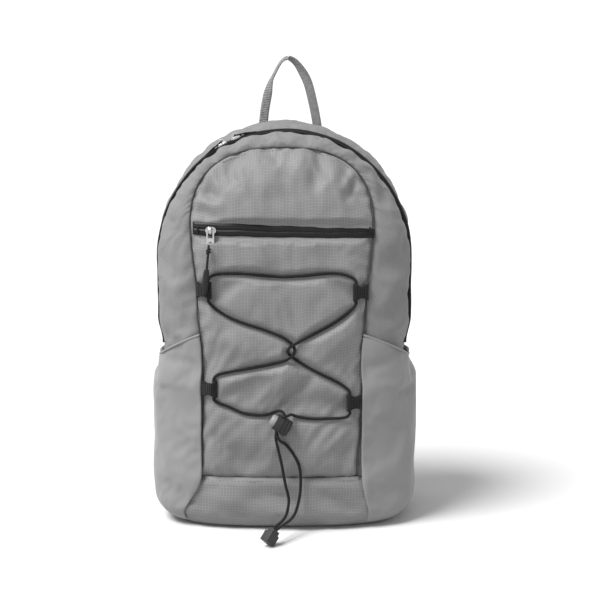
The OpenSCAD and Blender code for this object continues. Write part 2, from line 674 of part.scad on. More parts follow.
module cord_lock_spring() {
    turns = 3;
    spring_r = 4;
    wire_d = 0.7;
    h = plunger_bottom - spring_floor - wire_d - 2 * skin_gap;
    color(NICKEL) at_lock() translate([0, 0, spring_floor + wire_d / 2 + skin_gap])
        tube([for (i = [0 : turns * 12]) let (a = 30 * i)
            [spring_r * cos(a), spring_r * sin(a), h * i / (turns * 12)]], wire_d, 6);
}

// ---- free tails and their end -------------------------------------------------

// Centres of the two tails, from under the lock to the cord end on the ground.
TAIL_LEFT = [
    [-8, -87.5, 101], [-6, -89, 92], [-4, -86, 82], [-2, -84, 72], [0, -83, 60],
    [2, -83, 50], [4, -83, 42], [5, -84, 35], [4, -87, 28], [2, -92, 22], [-2, -100, 18.5],
    [-6.5, -109, 17.5], [-10.8, -117.6, 15.4]
];
TAIL_RIGHT = [
    [-4.6, -90.5, 101], [2, -86, 95], [8, -84, 87], [13, -83, 78], [16, -82, 69],
    [17, -82, 60], [17, -82, 50], [16, -84, 40], [14, -87, 31], [11, -93, 24], [6, -101, 20],
    [-1, -111, 18], [-8.4, -120.2, 15.4]
];
module tail(lane, route) {
    color(BLACK) tube(spline(concat([lock_point(lane, -lock_r)], route), 2), cord_d, 8);
}
module tail_left() { tail(LEFT_LANE, TAIL_LEFT); }
module tail_right() { tail(RIGHT_LANE, TAIL_RIGHT); }

// The moulded end that holds both tails: a shoulder and a block, leaning on the ground.
END_CENTRE = [-13, -122, 10.2];
end_tilt = 137.7;
end_yaw = -138;
module cord_end() {
    shoulder_l = 4;
    block_l = 11;
    color(GREY_DARK) translate(END_CENTRE) rotate([0, end_tilt, end_yaw])
        translate([0, 0, -(shoulder_l + block_l) / 2]) {
            linear_extrude(shoulder_l) square([10, 8], center = true);
            translate([0, 0, shoulder_l]) linear_extrude(block_l) square([12.5, 10.5], center = true);
        }
}

// ---- grab handle --------------------------------------------------------------

handle_y = 50;
handle_t = 2.4;
handle_foot_z = 416;
handle_x = 6;
// The webbing's centre line, as shares of the span and the rise. Both feet face the
// front and the legs lean in to a narrow round top.
HANDLE = [
    [-0.5, 0], [-0.46, 0.28], [-0.4, 0.54], [-0.3, 0.77], [-0.17, 0.94], [-0.01, 1],
    [0.15, 0.92], [0.29, 0.72], [0.4, 0.51], [0.46, 0.28], [0.5, 0]
];
module grab_handle() {
    path = spline([for (p = HANDLE) [handle_x + p[0] * handle_span, p[1] * handle_rise]], 3);
    half = [for (i = [0 : len(path) - 1])
        let (a = path[max(i - 1, 0)], b = path[min(i + 1, len(path) - 1)], d = unit(b - a))
        [-d[1], d[0]] * handle_w / 2];
    color(GREY_DARK) translate([0, handle_y + handle_t / 2, handle_foot_z]) rotate([90, 0, 0])
        linear_extrude(handle_t)
            polygon(concat([for (i = [0 : len(path) - 1]) path[i] + half[i]],
                           [for (i = [len(path) - 1 : -1 : 0]) path[i] - half[i]]));
}

// ---- shoulder straps ----------------------------------------------------------

strap_x = 40;                  // centre of a strap at its top
// Centre line of a strap: sideways offset, distance behind the back, height.
STRAP = [
    [0, 8, 374], [1, 15, 362], [4, 26, 340], [9, 33, 312], [17, 35, 280], [26, 34, 245],
    [33, 30, 208], [38, 24, 174], [40, 20, 150]
];
strap_top_z = STRAP[0][2];
strap_low_z = STRAP[len(STRAP) - 1][2];
module strap_strip(line, width, thick) {
    path = spline(line, 3);
    skin([for (i = [0 : len(path) - 1])
        let (t = tangent(path, i), n = unit([0, -t[2], t[1]]) * thick / 2, w = width / 2,
             q = path[i], e = min(5, w * 0.4))
        [q + [-w, 0, 0], q + [-w + e, 0, 0] - n, q + [w - e, 0, 0] - n, q + [w, 0, 0],
         q + [w - e, 0, 0] + n, q + [-w + e, 0, 0] + n]]);
}
module shoulder_strap(side) {
    line = [for (p = STRAP) [strap_x + p[0], back_face_y + p[1], p[2]]];
    color(GREY_PLAIN) mirror([side < 0 ? 1 : 0, 0, 0]) strap_strip(line, strap_w, strap_t);
}
module shoulder_strap_left() { shoulder_strap(-1); }
module shoulder_strap_right() { shoulder_strap(1); }

// The yoke is the sewn band that covers both straps' upper ends.
module strap_yoke() {
    over = 3;
    color(GREY_DARK) translate([-strap_x - strap_w / 2 - over, back_face_y + skin_gap, strap_top_z - 8])
        cube([2 * strap_x + strap_w + 2 * over, 3, 18]);
}

lock_plate_x = strap_x + STRAP[len(STRAP) - 1][0];
ladder_z = strap_low_z - 26;
ladder_y = back_face_y + 18;
// Short webbing that holds the ladder lock at the end of the strap.
module ladder_holder(side) {
    color(BLACK) mirror([side < 0 ? 1 : 0, 0, 0])
        translate([lock_plate_x - webbing_w / 2, ladder_y - 1, ladder_z + 11])
            cube([webbing_w, 1.6, strap_low_z - ladder_z - 12]);
}
module ladder_holder_left() { ladder_holder(-1); }
module ladder_holder_right() { ladder_holder(1); }

// A ladder lock: a frame with two windows and a lifting lip.
module ladder_lock(side) {
    frame_w = webbing_w + 7;
    color(BLACK) mirror([side < 0 ? 1 : 0, 0, 0]) translate([lock_plate_x, ladder_y + 1.4, ladder_z])
        rotate([90, 0, 0]) translate([0, 0, -1.6]) {
            linear_extrude(3.2) difference() {
                translate([-frame_w / 2, -10]) square([frame_w, 20]);
                translate([-webbing_w / 2 - 0.5, 3]) square([webbing_w + 1, 4.2]);
                translate([-webbing_w / 2 - 0.5, -5.4]) square([webbing_w + 1, 4.6]);
            }
        }
}
module ladder_lock_left() { ladder_lock(-1); }
module ladder_lock_right() { ladder_lock(1); }

// Webbing from the ladder lock down to the tab at the pack's lower corner.
WEBBING = [[0, 17, 112], [5, 13, 96], [13, 8, 74], [20, 5, 56], [24, 4.4, 44]];
module strap_webbing(side) {
    line = [for (p = WEBBING) [lock_plate_x + p[0], back_face_y + p[1], p[2]]];
    color(GREY_DARK) mirror([side < 0 ? 1 : 0, 0, 0]) strap_strip(line, webbing_w, 1.6);
}
module strap_webbing_left() { strap_webbing(-1); }
module strap_webbing_right() { strap_webbing(1); }

// The triangular tab sewn into the lower corner.
module strap_tab(side) {
    tab_t = 2.2;
    tab_w = 40;
    tab_low_z = 12;
    color(GREY_DARK) mirror([side < 0 ? 1 : 0, 0, 0])
        translate([back_half_w - 20, back_face_y + skin_gap + tab_t, tab_low_z])
            rotate([90, 0, 0]) linear_extrude(tab_t)
                polygon([[0, 4], [tab_w, 0], [tab_w, tab_w], [14, tab_w + 2]]);
}
module strap_tab_left() { strap_tab(-1); }
module strap_tab_right() { strap_tab(1); }

rear_shell();
lower_front();
base_panel();
front_fold();
front_gusset();
front_panel();
back_lining();
back_foam();
back_mesh();
side_pocket_left();
side_pocket_right();
pocket_hem_left();
pocket_hem_right();
main_zip_rear();
main_zip_front();
main_zip_stops();
main_slider_left();
main_slider_right();
main_pull_left();
main_pull_right();
pocket_zip_band();
pocket_zip_stops();
pocket_lining();
pocket_slider();
pocket_pull_tab();
pocket_pull_cord();
pocket_pull_grip();
loop_upper_left();
loop_upper_right();
loop_lower_left();
loop_lower_right();
lacing_left();
lacing_right();
tail_left();
tail_right();
cord_end();
cord_lock_body();
cord_lock_button();
cord_lock_spring();
grab_handle();
shoulder_strap_left();
shoulder_strap_right();
strap_webbing_left();
strap_webbing_right();
ladder_lock_left();
ladder_lock_right();
ladder_holder_left();
ladder_holder_right();
strap_tab_left();
strap_tab_right();
strap_yoke();
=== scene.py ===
"""Looks of the daypack: sewn cloth, zips, webbing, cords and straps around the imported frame.

Shapes are worked out in millimetres, in the frame's own axes, and turned into metres
when a mesh is made. The front faces -Y.
"""

import json
import math

import bpy
import numpy as np
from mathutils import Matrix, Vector, noise
from mathutils.bvhtree import BVHTree

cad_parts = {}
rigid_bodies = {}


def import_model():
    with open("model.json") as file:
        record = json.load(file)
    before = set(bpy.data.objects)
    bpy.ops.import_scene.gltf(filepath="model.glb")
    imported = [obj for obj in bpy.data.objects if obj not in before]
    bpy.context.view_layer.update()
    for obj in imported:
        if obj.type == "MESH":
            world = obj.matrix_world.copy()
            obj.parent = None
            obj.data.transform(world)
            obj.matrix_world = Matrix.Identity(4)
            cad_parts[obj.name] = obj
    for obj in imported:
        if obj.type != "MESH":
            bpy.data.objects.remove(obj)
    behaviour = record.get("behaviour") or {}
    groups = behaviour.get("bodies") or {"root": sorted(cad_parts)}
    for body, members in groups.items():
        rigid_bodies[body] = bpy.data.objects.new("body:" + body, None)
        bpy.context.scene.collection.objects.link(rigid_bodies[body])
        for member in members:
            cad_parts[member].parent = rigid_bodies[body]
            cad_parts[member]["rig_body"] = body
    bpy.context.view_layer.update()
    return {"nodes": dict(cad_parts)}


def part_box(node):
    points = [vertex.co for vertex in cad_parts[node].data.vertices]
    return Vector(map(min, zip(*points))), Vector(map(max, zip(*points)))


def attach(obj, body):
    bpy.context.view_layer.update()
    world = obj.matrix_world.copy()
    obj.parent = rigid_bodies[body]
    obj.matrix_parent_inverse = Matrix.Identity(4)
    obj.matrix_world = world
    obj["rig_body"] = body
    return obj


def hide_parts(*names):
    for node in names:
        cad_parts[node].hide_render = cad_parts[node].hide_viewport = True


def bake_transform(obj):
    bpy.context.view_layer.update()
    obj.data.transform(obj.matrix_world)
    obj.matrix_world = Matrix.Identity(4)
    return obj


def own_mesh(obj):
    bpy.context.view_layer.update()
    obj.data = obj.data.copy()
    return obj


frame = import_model()
MM = 0.001

# ---- the pack's own sizes, as in the CAD source ----

ARCH_R = 131.0
ARCH_Z = 277.0
FRONT_DEPTH = 71.0
REAR_DEPTH = 65.0
BACK_HALF_W = 118.0
BACK_ARCH_Z = 295.0
BASE_H = 57.0
BASE_R = 22.0
REAR_ROUND = 0.3
ZIP_Y = -5.0
ZIP_TOP_Z = ARCH_Z + ARCH_R
BELLY_Z = 110.0
PROFILE_P = 2.6
SECTION_P = 3.0
PANEL_RISE = 78.0
PANEL_TOP_Z = 393.0
PANEL_Z = PANEL_TOP_Z - PANEL_RISE
PANEL_P = 2.5
BACK_FACE_Y = 68.4
ARCH_LEG = 0.2
CORD_D = 3.0
BAND_Z = 311.0
BAND_H = 13.0
# Below its waist the pack narrows by this much on each side.
WAIST_Z = 188.0
WAIST_REACH = 27.0
WAIST_TUCK = 4.6
# The inside of the pack, which the cloth's outer faces turn away from.
INSIDE = (0, 0, 200)
POCKET_INSIDE = (0, 0, 100)
BASE_INSIDE = (0, 0, 26)
# Cloth grids: points up or round, and points across.
FRONT_GRID = (96, 61)
GUSSET_GRID = (261, 13)
REAR_GRID = (241, 17)
POCKET_GRID = (49, 41)

scene = bpy.context.scene


def lerp(a, b, t):
    return a + (b - a) * t


def smooth(t):
    t = min(1.0, max(0.0, t))
    return t * t * (3 - 2 * t)


def base_in(z):
    """How far the base's rounded edge stands in at height z."""
    return 0.0 if z >= BASE_R else BASE_R - math.sqrt(max(0.0, BASE_R**2 - (BASE_R - z) ** 2))


def half_w(z):
    """Half the pack's width in the zip's plane."""
    if z > ARCH_Z:
        return math.sqrt(max(0.0, ARCH_R**2 - (z - ARCH_Z) ** 2))
    return ARCH_R - base_in(z) - WAIST_TUCK * (1 - smooth((z - WAIST_Z) / WAIST_REACH))


def depth(z):
    rise = max(0.0, z - BELLY_Z) / (ZIP_TOP_Z - BELLY_Z)
    return (FRONT_DEPTH - base_in(z)) * max(0.0, 1 - rise**PROFILE_P) ** (1 / PROFILE_P)


def front_y(x, z):
    w = half_w(z)
    r = min(1.0, abs(x) / w) if w > 0 else 1.0
    return ZIP_Y - depth(z) * max(0.0, 1 - r**SECTION_P) ** (1 / SECTION_P)


def along(z, places):
    """A value at height z between (height, value) pairs, from low to high."""
    heights, values = zip(*places)
    return float(np.interp(z, heights, values))


# The panel's side seams: height and distance from the middle, from low to high.
LEFT_SEAM = [
    (57, 88), (90, 86), (123, 84), (155, 83), (204, 85), (219, 87.5), (256, 89), (285, 93), (312, 95.5),
]
RIGHT_SEAM = [
    (57, 76), (84, 76.5), (115, 79), (144, 81.5), (189, 81.5), (230, 83), (256, 85), (276, 88), (308, 91),
]


def panel_w(z, side):
    """Distance from the middle to the ripstop panel's seam, on the left (-1) or right (1)."""
    places = LEFT_SEAM if side < 0 else RIGHT_SEAM
    if z > PANEL_Z:
        return places[-1][1] * max(0.0, 1 - ((z - PANEL_Z) / PANEL_RISE) ** PANEL_P) ** (1 / PANEL_P)
    return along(z, places)


def arch(u, low_z, leg_w, w, centre_z, rise, p):
    """A point (x, z) of an arch, u from its lower right end to its lower left end.

    leg_w gives the half width of a leg at a height, on one side; w may differ by side."""
    side = 1 if u < 0.5 else -1
    if u < ARCH_LEG or u > 1 - ARCH_LEG:
        z = lerp(low_z, centre_z, min(u, 1 - u) / ARCH_LEG)
        return side * leg_w(z, side), z
    f = math.pi * (u - ARCH_LEG) / (1 - 2 * ARCH_LEG)
    c, s = math.cos(f), max(0.0, math.sin(f))
    return w(side) * math.copysign(abs(c) ** (2 / p), c), centre_z + rise * s ** (2 / p)


def zip_arch(u, low_z):
    return arch(u, low_z, lambda z, side: half_w(z), lambda side: ARCH_R, ARCH_Z, ARCH_R, 2)


def panel_arch(u, low_z):
    return arch(u, low_z, panel_w, lambda side: panel_w(PANEL_Z, side), PANEL_Z, PANEL_RISE, PANEL_P)


def back_arch(u, low_z):
    return arch(u, low_z, lambda z, side: BACK_HALF_W - base_in(z), lambda side: BACK_HALF_W, BACK_ARCH_Z,
                BACK_HALF_W, 2)


def rear_point(u, t, low_z):
    """A point of the rear gusset: t is 0 at the zip and 1 at the back panel."""
    share = min(1.0, max(0.0, (u - ARCH_LEG) / (1 - 2 * ARCH_LEG)))
    (ax, az), (bx, bz) = zip_arch(u, low_z), back_arch(u, low_z)
    mx, mz = lerp(ax, bx, t * t), lerp(az, bz, t * t)
    out = Vector((mx, max(0.0, mz - ARCH_Z))).normalized()
    bulge = (3 + 4 * math.sin(math.pi * share)) * math.sin(math.pi * t)
    return mx + out.x * bulge, lerp(ZIP_Y, ZIP_Y + REAR_DEPTH, t), mz + out.y * bulge


def gusset_point(u, t, low_z):
    """A point of the front gusset: t is 0 at the zip and 1 at the panel's seam."""
    (ax, az), (bx, bz) = zip_arch(u, low_z), panel_arch(u, low_z)
    x, z = lerp(ax, bx, t**1.6), lerp(az, bz, t**1.6)
    return x, min(front_y(x, z), ZIP_Y - 4.3 * (1 - t)), z


def rear_x(z, t):
    return lerp(half_w(z), BACK_HALF_W - base_in(z), t * t) + 3 * math.sin(math.pi * t)


def rear_depth(z):
    return REAR_DEPTH - REAR_ROUND * base_in(z)


def base_loop(z):
    """A loop right round the pack at height z."""
    w, d = half_w(z), rear_depth(z)
    front = [w * math.sin(math.radians(lerp(-90, 90, k / 72))) for k in range(73)]
    rear = [(rear_x(z, k / 16), ZIP_Y + d * k / 16, z) for k in range(1, 17)]
    back = [(lerp(rear[-1][0], -rear[-1][0], k / 30), rear[-1][1], z) for k in range(1, 30)]
    return [(x, front_y(x, z), z) for x in front] + rear + back + [(-x, y, h) for x, y, h in reversed(rear)]


# Angle of a side pocket's front seam about the pack, at the ground and above the base.
POCKET_SEAMS = {1: (-54, -61), -1: (-39, -58)}
POCKET_STAND = 6.8
POCKET_BACK = 0.82


def pocket_point(side, z, v, lift_more=0.0):
    """A point of a side pocket: v is 0 at the front seam, and 1 at the seam near the back."""
    stand = POCKET_STAND * smooth(z / 30) * (1 - 0.75 * smooth((z - 148) / 32)) + 2
    lift = stand * math.sin(math.pi * min(0.5, v + 0.06)) ** 0.7 + 0.5 + lift_more
    d = depth(z) + lift * 0.8
    if v < 0.5:
        seam = lerp(*POCKET_SEAMS[side], smooth(z / BASE_H))
        turn = math.radians(seam * (1 - v / 0.5))
        x = (half_w(z) + lift) * math.cos(turn) ** (2 / SECTION_P)
        return side * x, ZIP_Y - d * (-math.sin(turn)) ** (2 / SECTION_P), z
    t = POCKET_BACK * (v - 0.5) / 0.5
    return side * (rear_x(z, t) + lift), ZIP_Y + rear_depth(z) * t, z


def mouth_z(v):
    """Height of a side pocket's mouth, which falls away from its front seam."""
    return 180 + 26 * max(0.0, 1 - 2.2 * v) ** 1.2 - 6 * v


# ---- meshes ----

def set_all(thing, **values):
    """Sets several properties of a Blender thing."""
    for key, value in values.items():
        setattr(thing, key, value)


def spline(points, steps):
    """Points on a smooth Catmull-Rom curve through given points."""
    p = np.array(points, float)
    out = []
    for i in range(len(p) - 1):
        a, b, c, d = p[max(i - 1, 0)], p[i], p[i + 1], p[min(i + 2, len(p) - 1)]
        for k in range(steps):
            t = k / steps
            out.append(0.5 * (2 * b + (c - a) * t + (2 * a - 5 * b + 4 * c - d) * t * t
                              + (3 * b - a - 3 * c + d) * t**3))
    out.append(p[-1])
    return np.array(out)


def new_object(name, points_mm, faces, uvs=None):
    """A smooth-shaded mesh object. uvs holds one (u, v) in millimetres for each corner."""
    mesh = bpy.data.meshes.new(name)
    mesh.from_pydata([tuple(float(c) * MM for c in p) for p in points_mm], [], faces)
    mesh.update()
    if uvs is not None:
        layer = mesh.uv_layers.new(name="cloth")
        layer.data.foreach_set("uv", np.array(uvs, np.float32).ravel())
    mesh.polygons.foreach_set("use_smooth", [True] * len(mesh.polygons))
    obj = bpy.data.objects.new(name, mesh)
    scene.collection.objects.link(obj)
    return obj


def lengths(a, axis):
    """Running length in millimetres along one direction of a grid of points."""
    step = np.linalg.norm(np.diff(a, axis=axis), axis=2)
    zero = np.zeros_like(np.take(step, [0], axis=axis))
    return np.concatenate([zero, np.cumsum(step, axis=axis)], axis=axis)


def grid_object(name, rows, wrap=False):
    """A sheet through a grid of points, with its UV in millimetres of cloth."""
    a = np.array(rows, float)
    if wrap:
        a = np.concatenate([a, a[:, :1]], axis=1)
    n, m = a.shape[:2]
    u, v = lengths(a, 1), lengths(a, 0)
    u = u - u[:, m // 2][:, None]
    cols = m - 1 if wrap else m
    faces, uvs = [], []
    for i in range(n - 1):
        for j in range(m - 1):
            corners = [(i, j), (i, j + 1), (i + 1, j + 1), (i + 1, j)]
            faces.append([r * cols + c % cols for r, c in corners])
            uvs += [(u[r, c], v[r, c]) for r, c in corners]
    return new_object(name, a[:, :cols].reshape(-1, 3), faces, uvs)


def grid_normals(a, inside):
    """Unit normals of a grid of points, all turned away from the point inside."""
    du, dv = np.gradient(a, axis=1), np.gradient(a, axis=0)
    n = np.cross(du, dv)
    n /= np.maximum(np.linalg.norm(n, axis=2, keepdims=True), 1e-9)
    outward = np.sum(n * (a - np.array(inside, float)), axis=2)
    return n * np.sign(np.sum(outward) or 1)


def push(rows, amount, inside=INSIDE):
    """Moves a grid's points along its normals by amount(i, j, point) millimetres."""
    a = np.array(rows, float)
    n = grid_normals(a, inside)
    d = np.array([[amount(i, j, a[i, j]) for j in range(a.shape[1])] for i in range(a.shape[0])])
    return a + n * d[:, :, None]


def face_out(obj, inside=INSIDE):
    """Turns every face's normal away from a point, for a sheet that bulges one way."""
    centre = Vector(inside) * MM
    mesh = obj.data
    total = sum((p.center - centre).dot(p.normal) * p.area for p in mesh.polygons)
    if total < 0:
        mesh.flip_normals()


def bake(obj):
    """Applies an object's modifiers."""
    graph = bpy.context.evaluated_depsgraph_get()
    baked = bpy.data.meshes.new_from_object(obj.evaluated_get(graph))
    obj.modifiers.clear()
    obj.data = baked
    return obj


def thicken(obj, thickness, inside=INSIDE, offset=-1.0):
    """Gives a sheet its thickness, inwards from the surface it was drawn on."""
    face_out(obj, inside)
    solid = obj.modifiers.new("thickness", "SOLIDIFY")
    set_all(solid, thickness=thickness * MM, offset=offset, use_rim=True)
    return bake(obj)


def frames_along(path):
    """Tangents and side directions along a path, without twist."""
    t = np.gradient(path, axis=0)
    t /= np.maximum(np.linalg.norm(t, axis=1, keepdims=True), 1e-9)
    side = np.array((0.1, 1, 0.1))
    sides = []
    for d in t:
        side = side - d * np.dot(d, side)
        side = side / np.linalg.norm(side)
        sides.append(side)
    return t, np.array(sides)


def sweep(name, path, section, sides=None):
    """A closed cross-section carried along a path, with its ends closed.

    section(i) gives its points (across, out) in millimetres at path point i."""
    path = np.array(path, float)
    t, m = frames_along(path)
    if sides is not None:
        m = np.array(sides, float)
        m = m - t * np.sum(m * t, axis=1, keepdims=True)
        m /= np.linalg.norm(m, axis=1, keepdims=True)
    n = np.cross(t, m)
    rows = np.array([[path[i] + a * m[i] + b * n[i] for a, b in section(i)] for i in range(len(path))])
    obj = grid_object(name, rows, wrap=True)
    cols = rows.shape[1]
    last = (len(path) - 1) * cols
    mesh = obj.data
    points = [tuple(v.co / MM) for v in mesh.vertices]
    faces = [list(p.vertices) for p in mesh.polygons]
    uvs = [tuple(d.uv) for d in mesh.uv_layers[0].data]
    faces += [list(range(cols))[::-1], [last + k for k in range(cols)]]
    uvs += [(0, 0)] * (2 * cols)
    bpy.data.objects.remove(obj)
    return new_object(name, points, faces, uvs)


def tube(name, path, radius, sides=10):
    turns = [2 * math.pi * k / sides for k in range(sides)]
    return sweep(name, path, lambda i: [(radius * math.cos(a), radius * math.sin(a)) for a in turns])


def flat_section(width, thick, rounding=0.35, dome=0.0):
    """The cross-section of a strap: flat, with rounded edges, and domed by padding."""
    xs = np.linspace(-1, 1, 13)
    top = [(x * width / 2, thick / 2 * (1 - abs(x) ** (2 / rounding)) ** 0.5 * (1 + dome * (1 - x * x)))
           for x in xs]
    return top + [(x, -y) for x, y in reversed(top[1:-1])]


def joined(name, objects):
    """One object from several."""
    bpy.ops.object.select_all(action="DESELECT")
    for o in objects:
        o.select_set(True)
    bpy.context.view_layer.objects.active = objects[0]
    bpy.ops.object.join()
    objects[0].name = name
    objects[0].data.name = name
    return objects[0]


def wave(p, scale, seed):
    """Smooth noise from -1 to 1 at a point, with bumps about scale millimetres across."""
    q = Vector((float(p[0]) / scale + seed * 7.3, float(p[1]) / scale, float(p[2]) / scale - seed * 3.1))
    return noise.noise(q)


def fold(x, z, start, end, width, height):
    """A soft ridge, or a dent where height is negative, along a line on the front."""
    a, d = Vector(start), Vector(end) - Vector(start)
    t = ((Vector((x, z)) - a).dot(d)) / d.length_squared
    near = a + d * min(1.0, max(0.0, t))
    gap = (Vector((x, z)) - near).length
    taper = math.sin(math.pi * min(1.0, max(0.0, 0.12 + 0.76 * t)))
    return height * taper * math.exp(-((gap / width) ** 2))


# ---- materials ----

class Shader:
    """A material's node tree, built up a socket at a time."""

    def __init__(self, name):
        self.material = bpy.data.materials.new(name)
        self.material.use_nodes = True
        self.tree = self.material.node_tree
        self.surface = self.tree.nodes["Principled BSDF"]

    def add(self, kind, inputs=(), **props):
        made = self.tree.nodes.new(kind)
        set_all(made, **props)
        for key, value in dict(inputs).items():
            if isinstance(value, bpy.types.NodeSocket):
                self.tree.links.new(value, made.inputs[key])
            else:
                made.inputs[key].default_value = value
        return made

    def calc(self, operation, a, b=0.0):
        return self.add("ShaderNodeMath", {0: a, 1: b}, operation=operation).outputs[0]

    def total(self, first, *others):
        """The sum of values, each given with its share."""
        out = self.calc("MULTIPLY", *first)
        for part in others:
            out = self.calc("ADD", out, self.calc("MULTIPLY", *part))
        return out

    def uv(self):
        split = self.add("ShaderNodeSeparateXYZ", {0: self.add("ShaderNodeUVMap", uv_map="cloth").outputs[0]})
        return split.outputs[0], split.outputs[1]

    def noise(self, scale, detail=3.0):
        coords = self.add("ShaderNodeTexCoord").outputs["Object"]
        return self.add("ShaderNodeTexNoise", {"Vector": coords, "Scale": scale, "Detail": detail}).outputs[0]

    def tone(self, factor, level, low, high):
        """A grey from low to high times level, as factor goes from 0 to 1."""
        ends = {6: (level * low,) * 3 + (1,), 7: (level * high,) * 3 + (1,)}
        return self.add("ShaderNodeMix", {0: factor, **ends}, data_type="RGBA").outputs[2]

    def scaled(self, value, low, high):
        return self.add("ShaderNodeMapRange", {0: value, 3: low, 4: high}).outputs[0]

    def ripple(self, value, pitch):
        """A sine wave over a length in millimetres."""
        return self.calc("SINE", self.calc("MULTIPLY", value, 2 * math.pi / pitch))

    def finish(self, colour, roughness, height, bump, distance=0.0004, sheen=0.0):
        made = self.add("ShaderNodeBump", {"Height": height, "Strength": bump, "Distance": distance})
        self.tree.links.new(colour, self.surface.inputs["Base Color"])
        self.tree.links.new(roughness, self.surface.inputs["Roughness"])
        self.tree.links.new(made.outputs[0], self.surface.inputs["Normal"])
        self.surface.inputs["Specular IOR Level"].default_value = 0.2
        self.surface.inputs["Sheen Weight"].default_value = sheen
        return self.material


def ripstop(name, level):
    """Nylon with thicker threads every few millimetres both ways."""
    s = Shader(name)
    u, v = s.uv()
    pitch = 3.2
    lines = []
    for value in (u, v):
        phase = s.calc("ABSOLUTE", s.calc("SINE", s.calc("MULTIPLY", value, math.pi / pitch)))
        lines.append(s.calc("GREATER_THAN", phase, 0.955))
    grid = s.calc("MAXIMUM", *lines)
    weave = s.calc("MULTIPLY", s.ripple(u, 0.9), s.ripple(v, 0.9))
    colour = s.tone(s.total((grid, 0.42), (s.noise(9), 0.5), (s.noise(420, 1), 0.28)), level, 0.78, 1.32)
    height = s.total((grid, 1.0), (weave, 0.25), (s.noise(160, 4), 1.2))
    return s.finish(colour, s.scaled(s.noise(30), 0.42, 0.58), height, 0.35, sheen=0.1)


def plain_weave(name, level, pitch=1.4, bump=0.4, twill=False):
    """A plain or twill weave that shows as a fine even grain."""
    s = Shader(name)
    u, v = s.uv()
    across = s.calc("ADD", u, v) if twill else u
    weave = s.calc("MULTIPLY", s.ripple(across, pitch), s.ripple(v, pitch * (2.2 if twill else 1)))
    colour = s.tone(s.total((weave, 0.16), (s.noise(12), 0.5), (s.noise(500, 1), 0.42)), level, 0.74, 1.28)
    height = s.total((weave, 1.0), (s.noise(140, 4), 1.6))
    return s.finish(colour, s.scaled(s.noise(35), 0.55, 0.72), height, bump, sheen=0.06)


def stretch_knit(name, level):
    """Smooth stretch cloth with a soft sheen and faint wales."""
    s = Shader(name)
    wale = s.calc("MULTIPLY", s.ripple(s.uv()[0], 1.1), 0.5)
    colour = s.tone(s.total((s.noise(11), 0.6), (wale, 0.12)), level, 0.82, 1.2)
    height = s.total((wale, 1.0), (s.noise(90, 4), 1.2))
    return s.finish(colour, s.scaled(s.noise(25), 0.48, 0.6), height, 0.2, sheen=0.12)


def webbing(name, level, rib=2.4):
    """Woven strap: ribs across it, and a smooth selvedge."""
    s = Shader(name)
    u, v = s.uv()
    ribs = s.calc("MULTIPLY", s.ripple(v, rib), s.calc("ADD", s.ripple(u, rib * 1.3), 1.6))
    colour = s.tone(s.total((ribs, 0.22), (s.noise(260, 2), 1.0)), level, 0.6, 1.45)
    height = s.calc("ADD", ribs, s.noise(300, 2))
    return s.finish(colour, s.scaled(s.noise(60), 0.6, 0.8), height, 0.6, sheen=0.06)


def braid(name, level):
    """Braided sheath of a shock cord."""
    s = Shader(name)
    u, v = s.uv()
    strands = s.calc("MULTIPLY", *(s.ripple(s.calc(way, u, v), 1.9) for way in ("ADD", "SUBTRACT")))
    colour = s.tone(s.total((strands, 0.5), (s.noise(300, 2), 0.6)), level, 0.5, 2.0)
    return s.finish(colour, s.scaled(s.noise(80), 0.55, 0.75), strands, 0.8, 0.0005, sheen=0.06)


def spacer_mesh(name, level):
    """Open knit mesh with round holes."""
    s = Shader(name)
    u, v = s.uv()
    point = s.add("ShaderNodeCombineXYZ", {0: u, 1: v}).outputs[0]
    pattern = {"Vector": point, "Scale": 0.62, "Randomness": 0.25}
    hole = s.calc("LESS_THAN", s.add("ShaderNodeTexVoronoi", pattern).outputs["Distance"], 0.36)
    height = s.calc("SUBTRACT", s.noise(120), hole)
    return s.finish(s.tone(hole, level, 1.4, 0.25), s.scaled(s.noise(60), 0.6, 0.8), height, 0.7, sheen=0.06)


def moulded(name, level, rough, grain=500, bump=0.15):
    """Moulded plastic or rubber with a fine grain and slight handling marks."""
    s = Shader(name)
    roughness = s.scaled(s.noise(90, 4), rough - 0.08, rough + 0.1)
    return s.finish(s.tone(s.noise(40), level, 0.85, 1.15), roughness, s.noise(grain, 3), bump, 0.0002)


def metal(name, level, rough):
    """Plated metal with small scratches."""
    s = Shader(name)
    s.surface.inputs["Metallic"].default_value = 1.0
    roughness = s.scaled(s.noise(400, 5), rough * 0.6, rough * 1.6)
    return s.finish(s.tone(s.noise(120), level, 0.9, 1.0), roughness, s.noise(700, 4), 0.05, 0.0001)


def coil_tape(name, level):
    """Zip tape with the ridges of a coil under it."""
    s = Shader(name)
    teeth = s.ripple(s.uv()[1], 1.3)
    colour = s.tone(s.total((teeth, 0.3), (s.noise(200, 2), 1.0)), level, 0.6, 1.6)
    return s.finish(colour, s.scaled(s.noise(50), 0.45, 0.6), teeth, 0.5)


def coated(name, level):
    """Water-resistant tape: a smooth skin that wrinkles finely."""
    s = Shader(name)
    colour = s.tone(s.total((s.noise(25), 0.7), (s.noise(350, 2), 0.4)), level, 0.75, 1.3)
    return s.finish(colour, s.scaled(s.noise(60), 0.38, 0.5), s.noise(110, 5), 0.25)


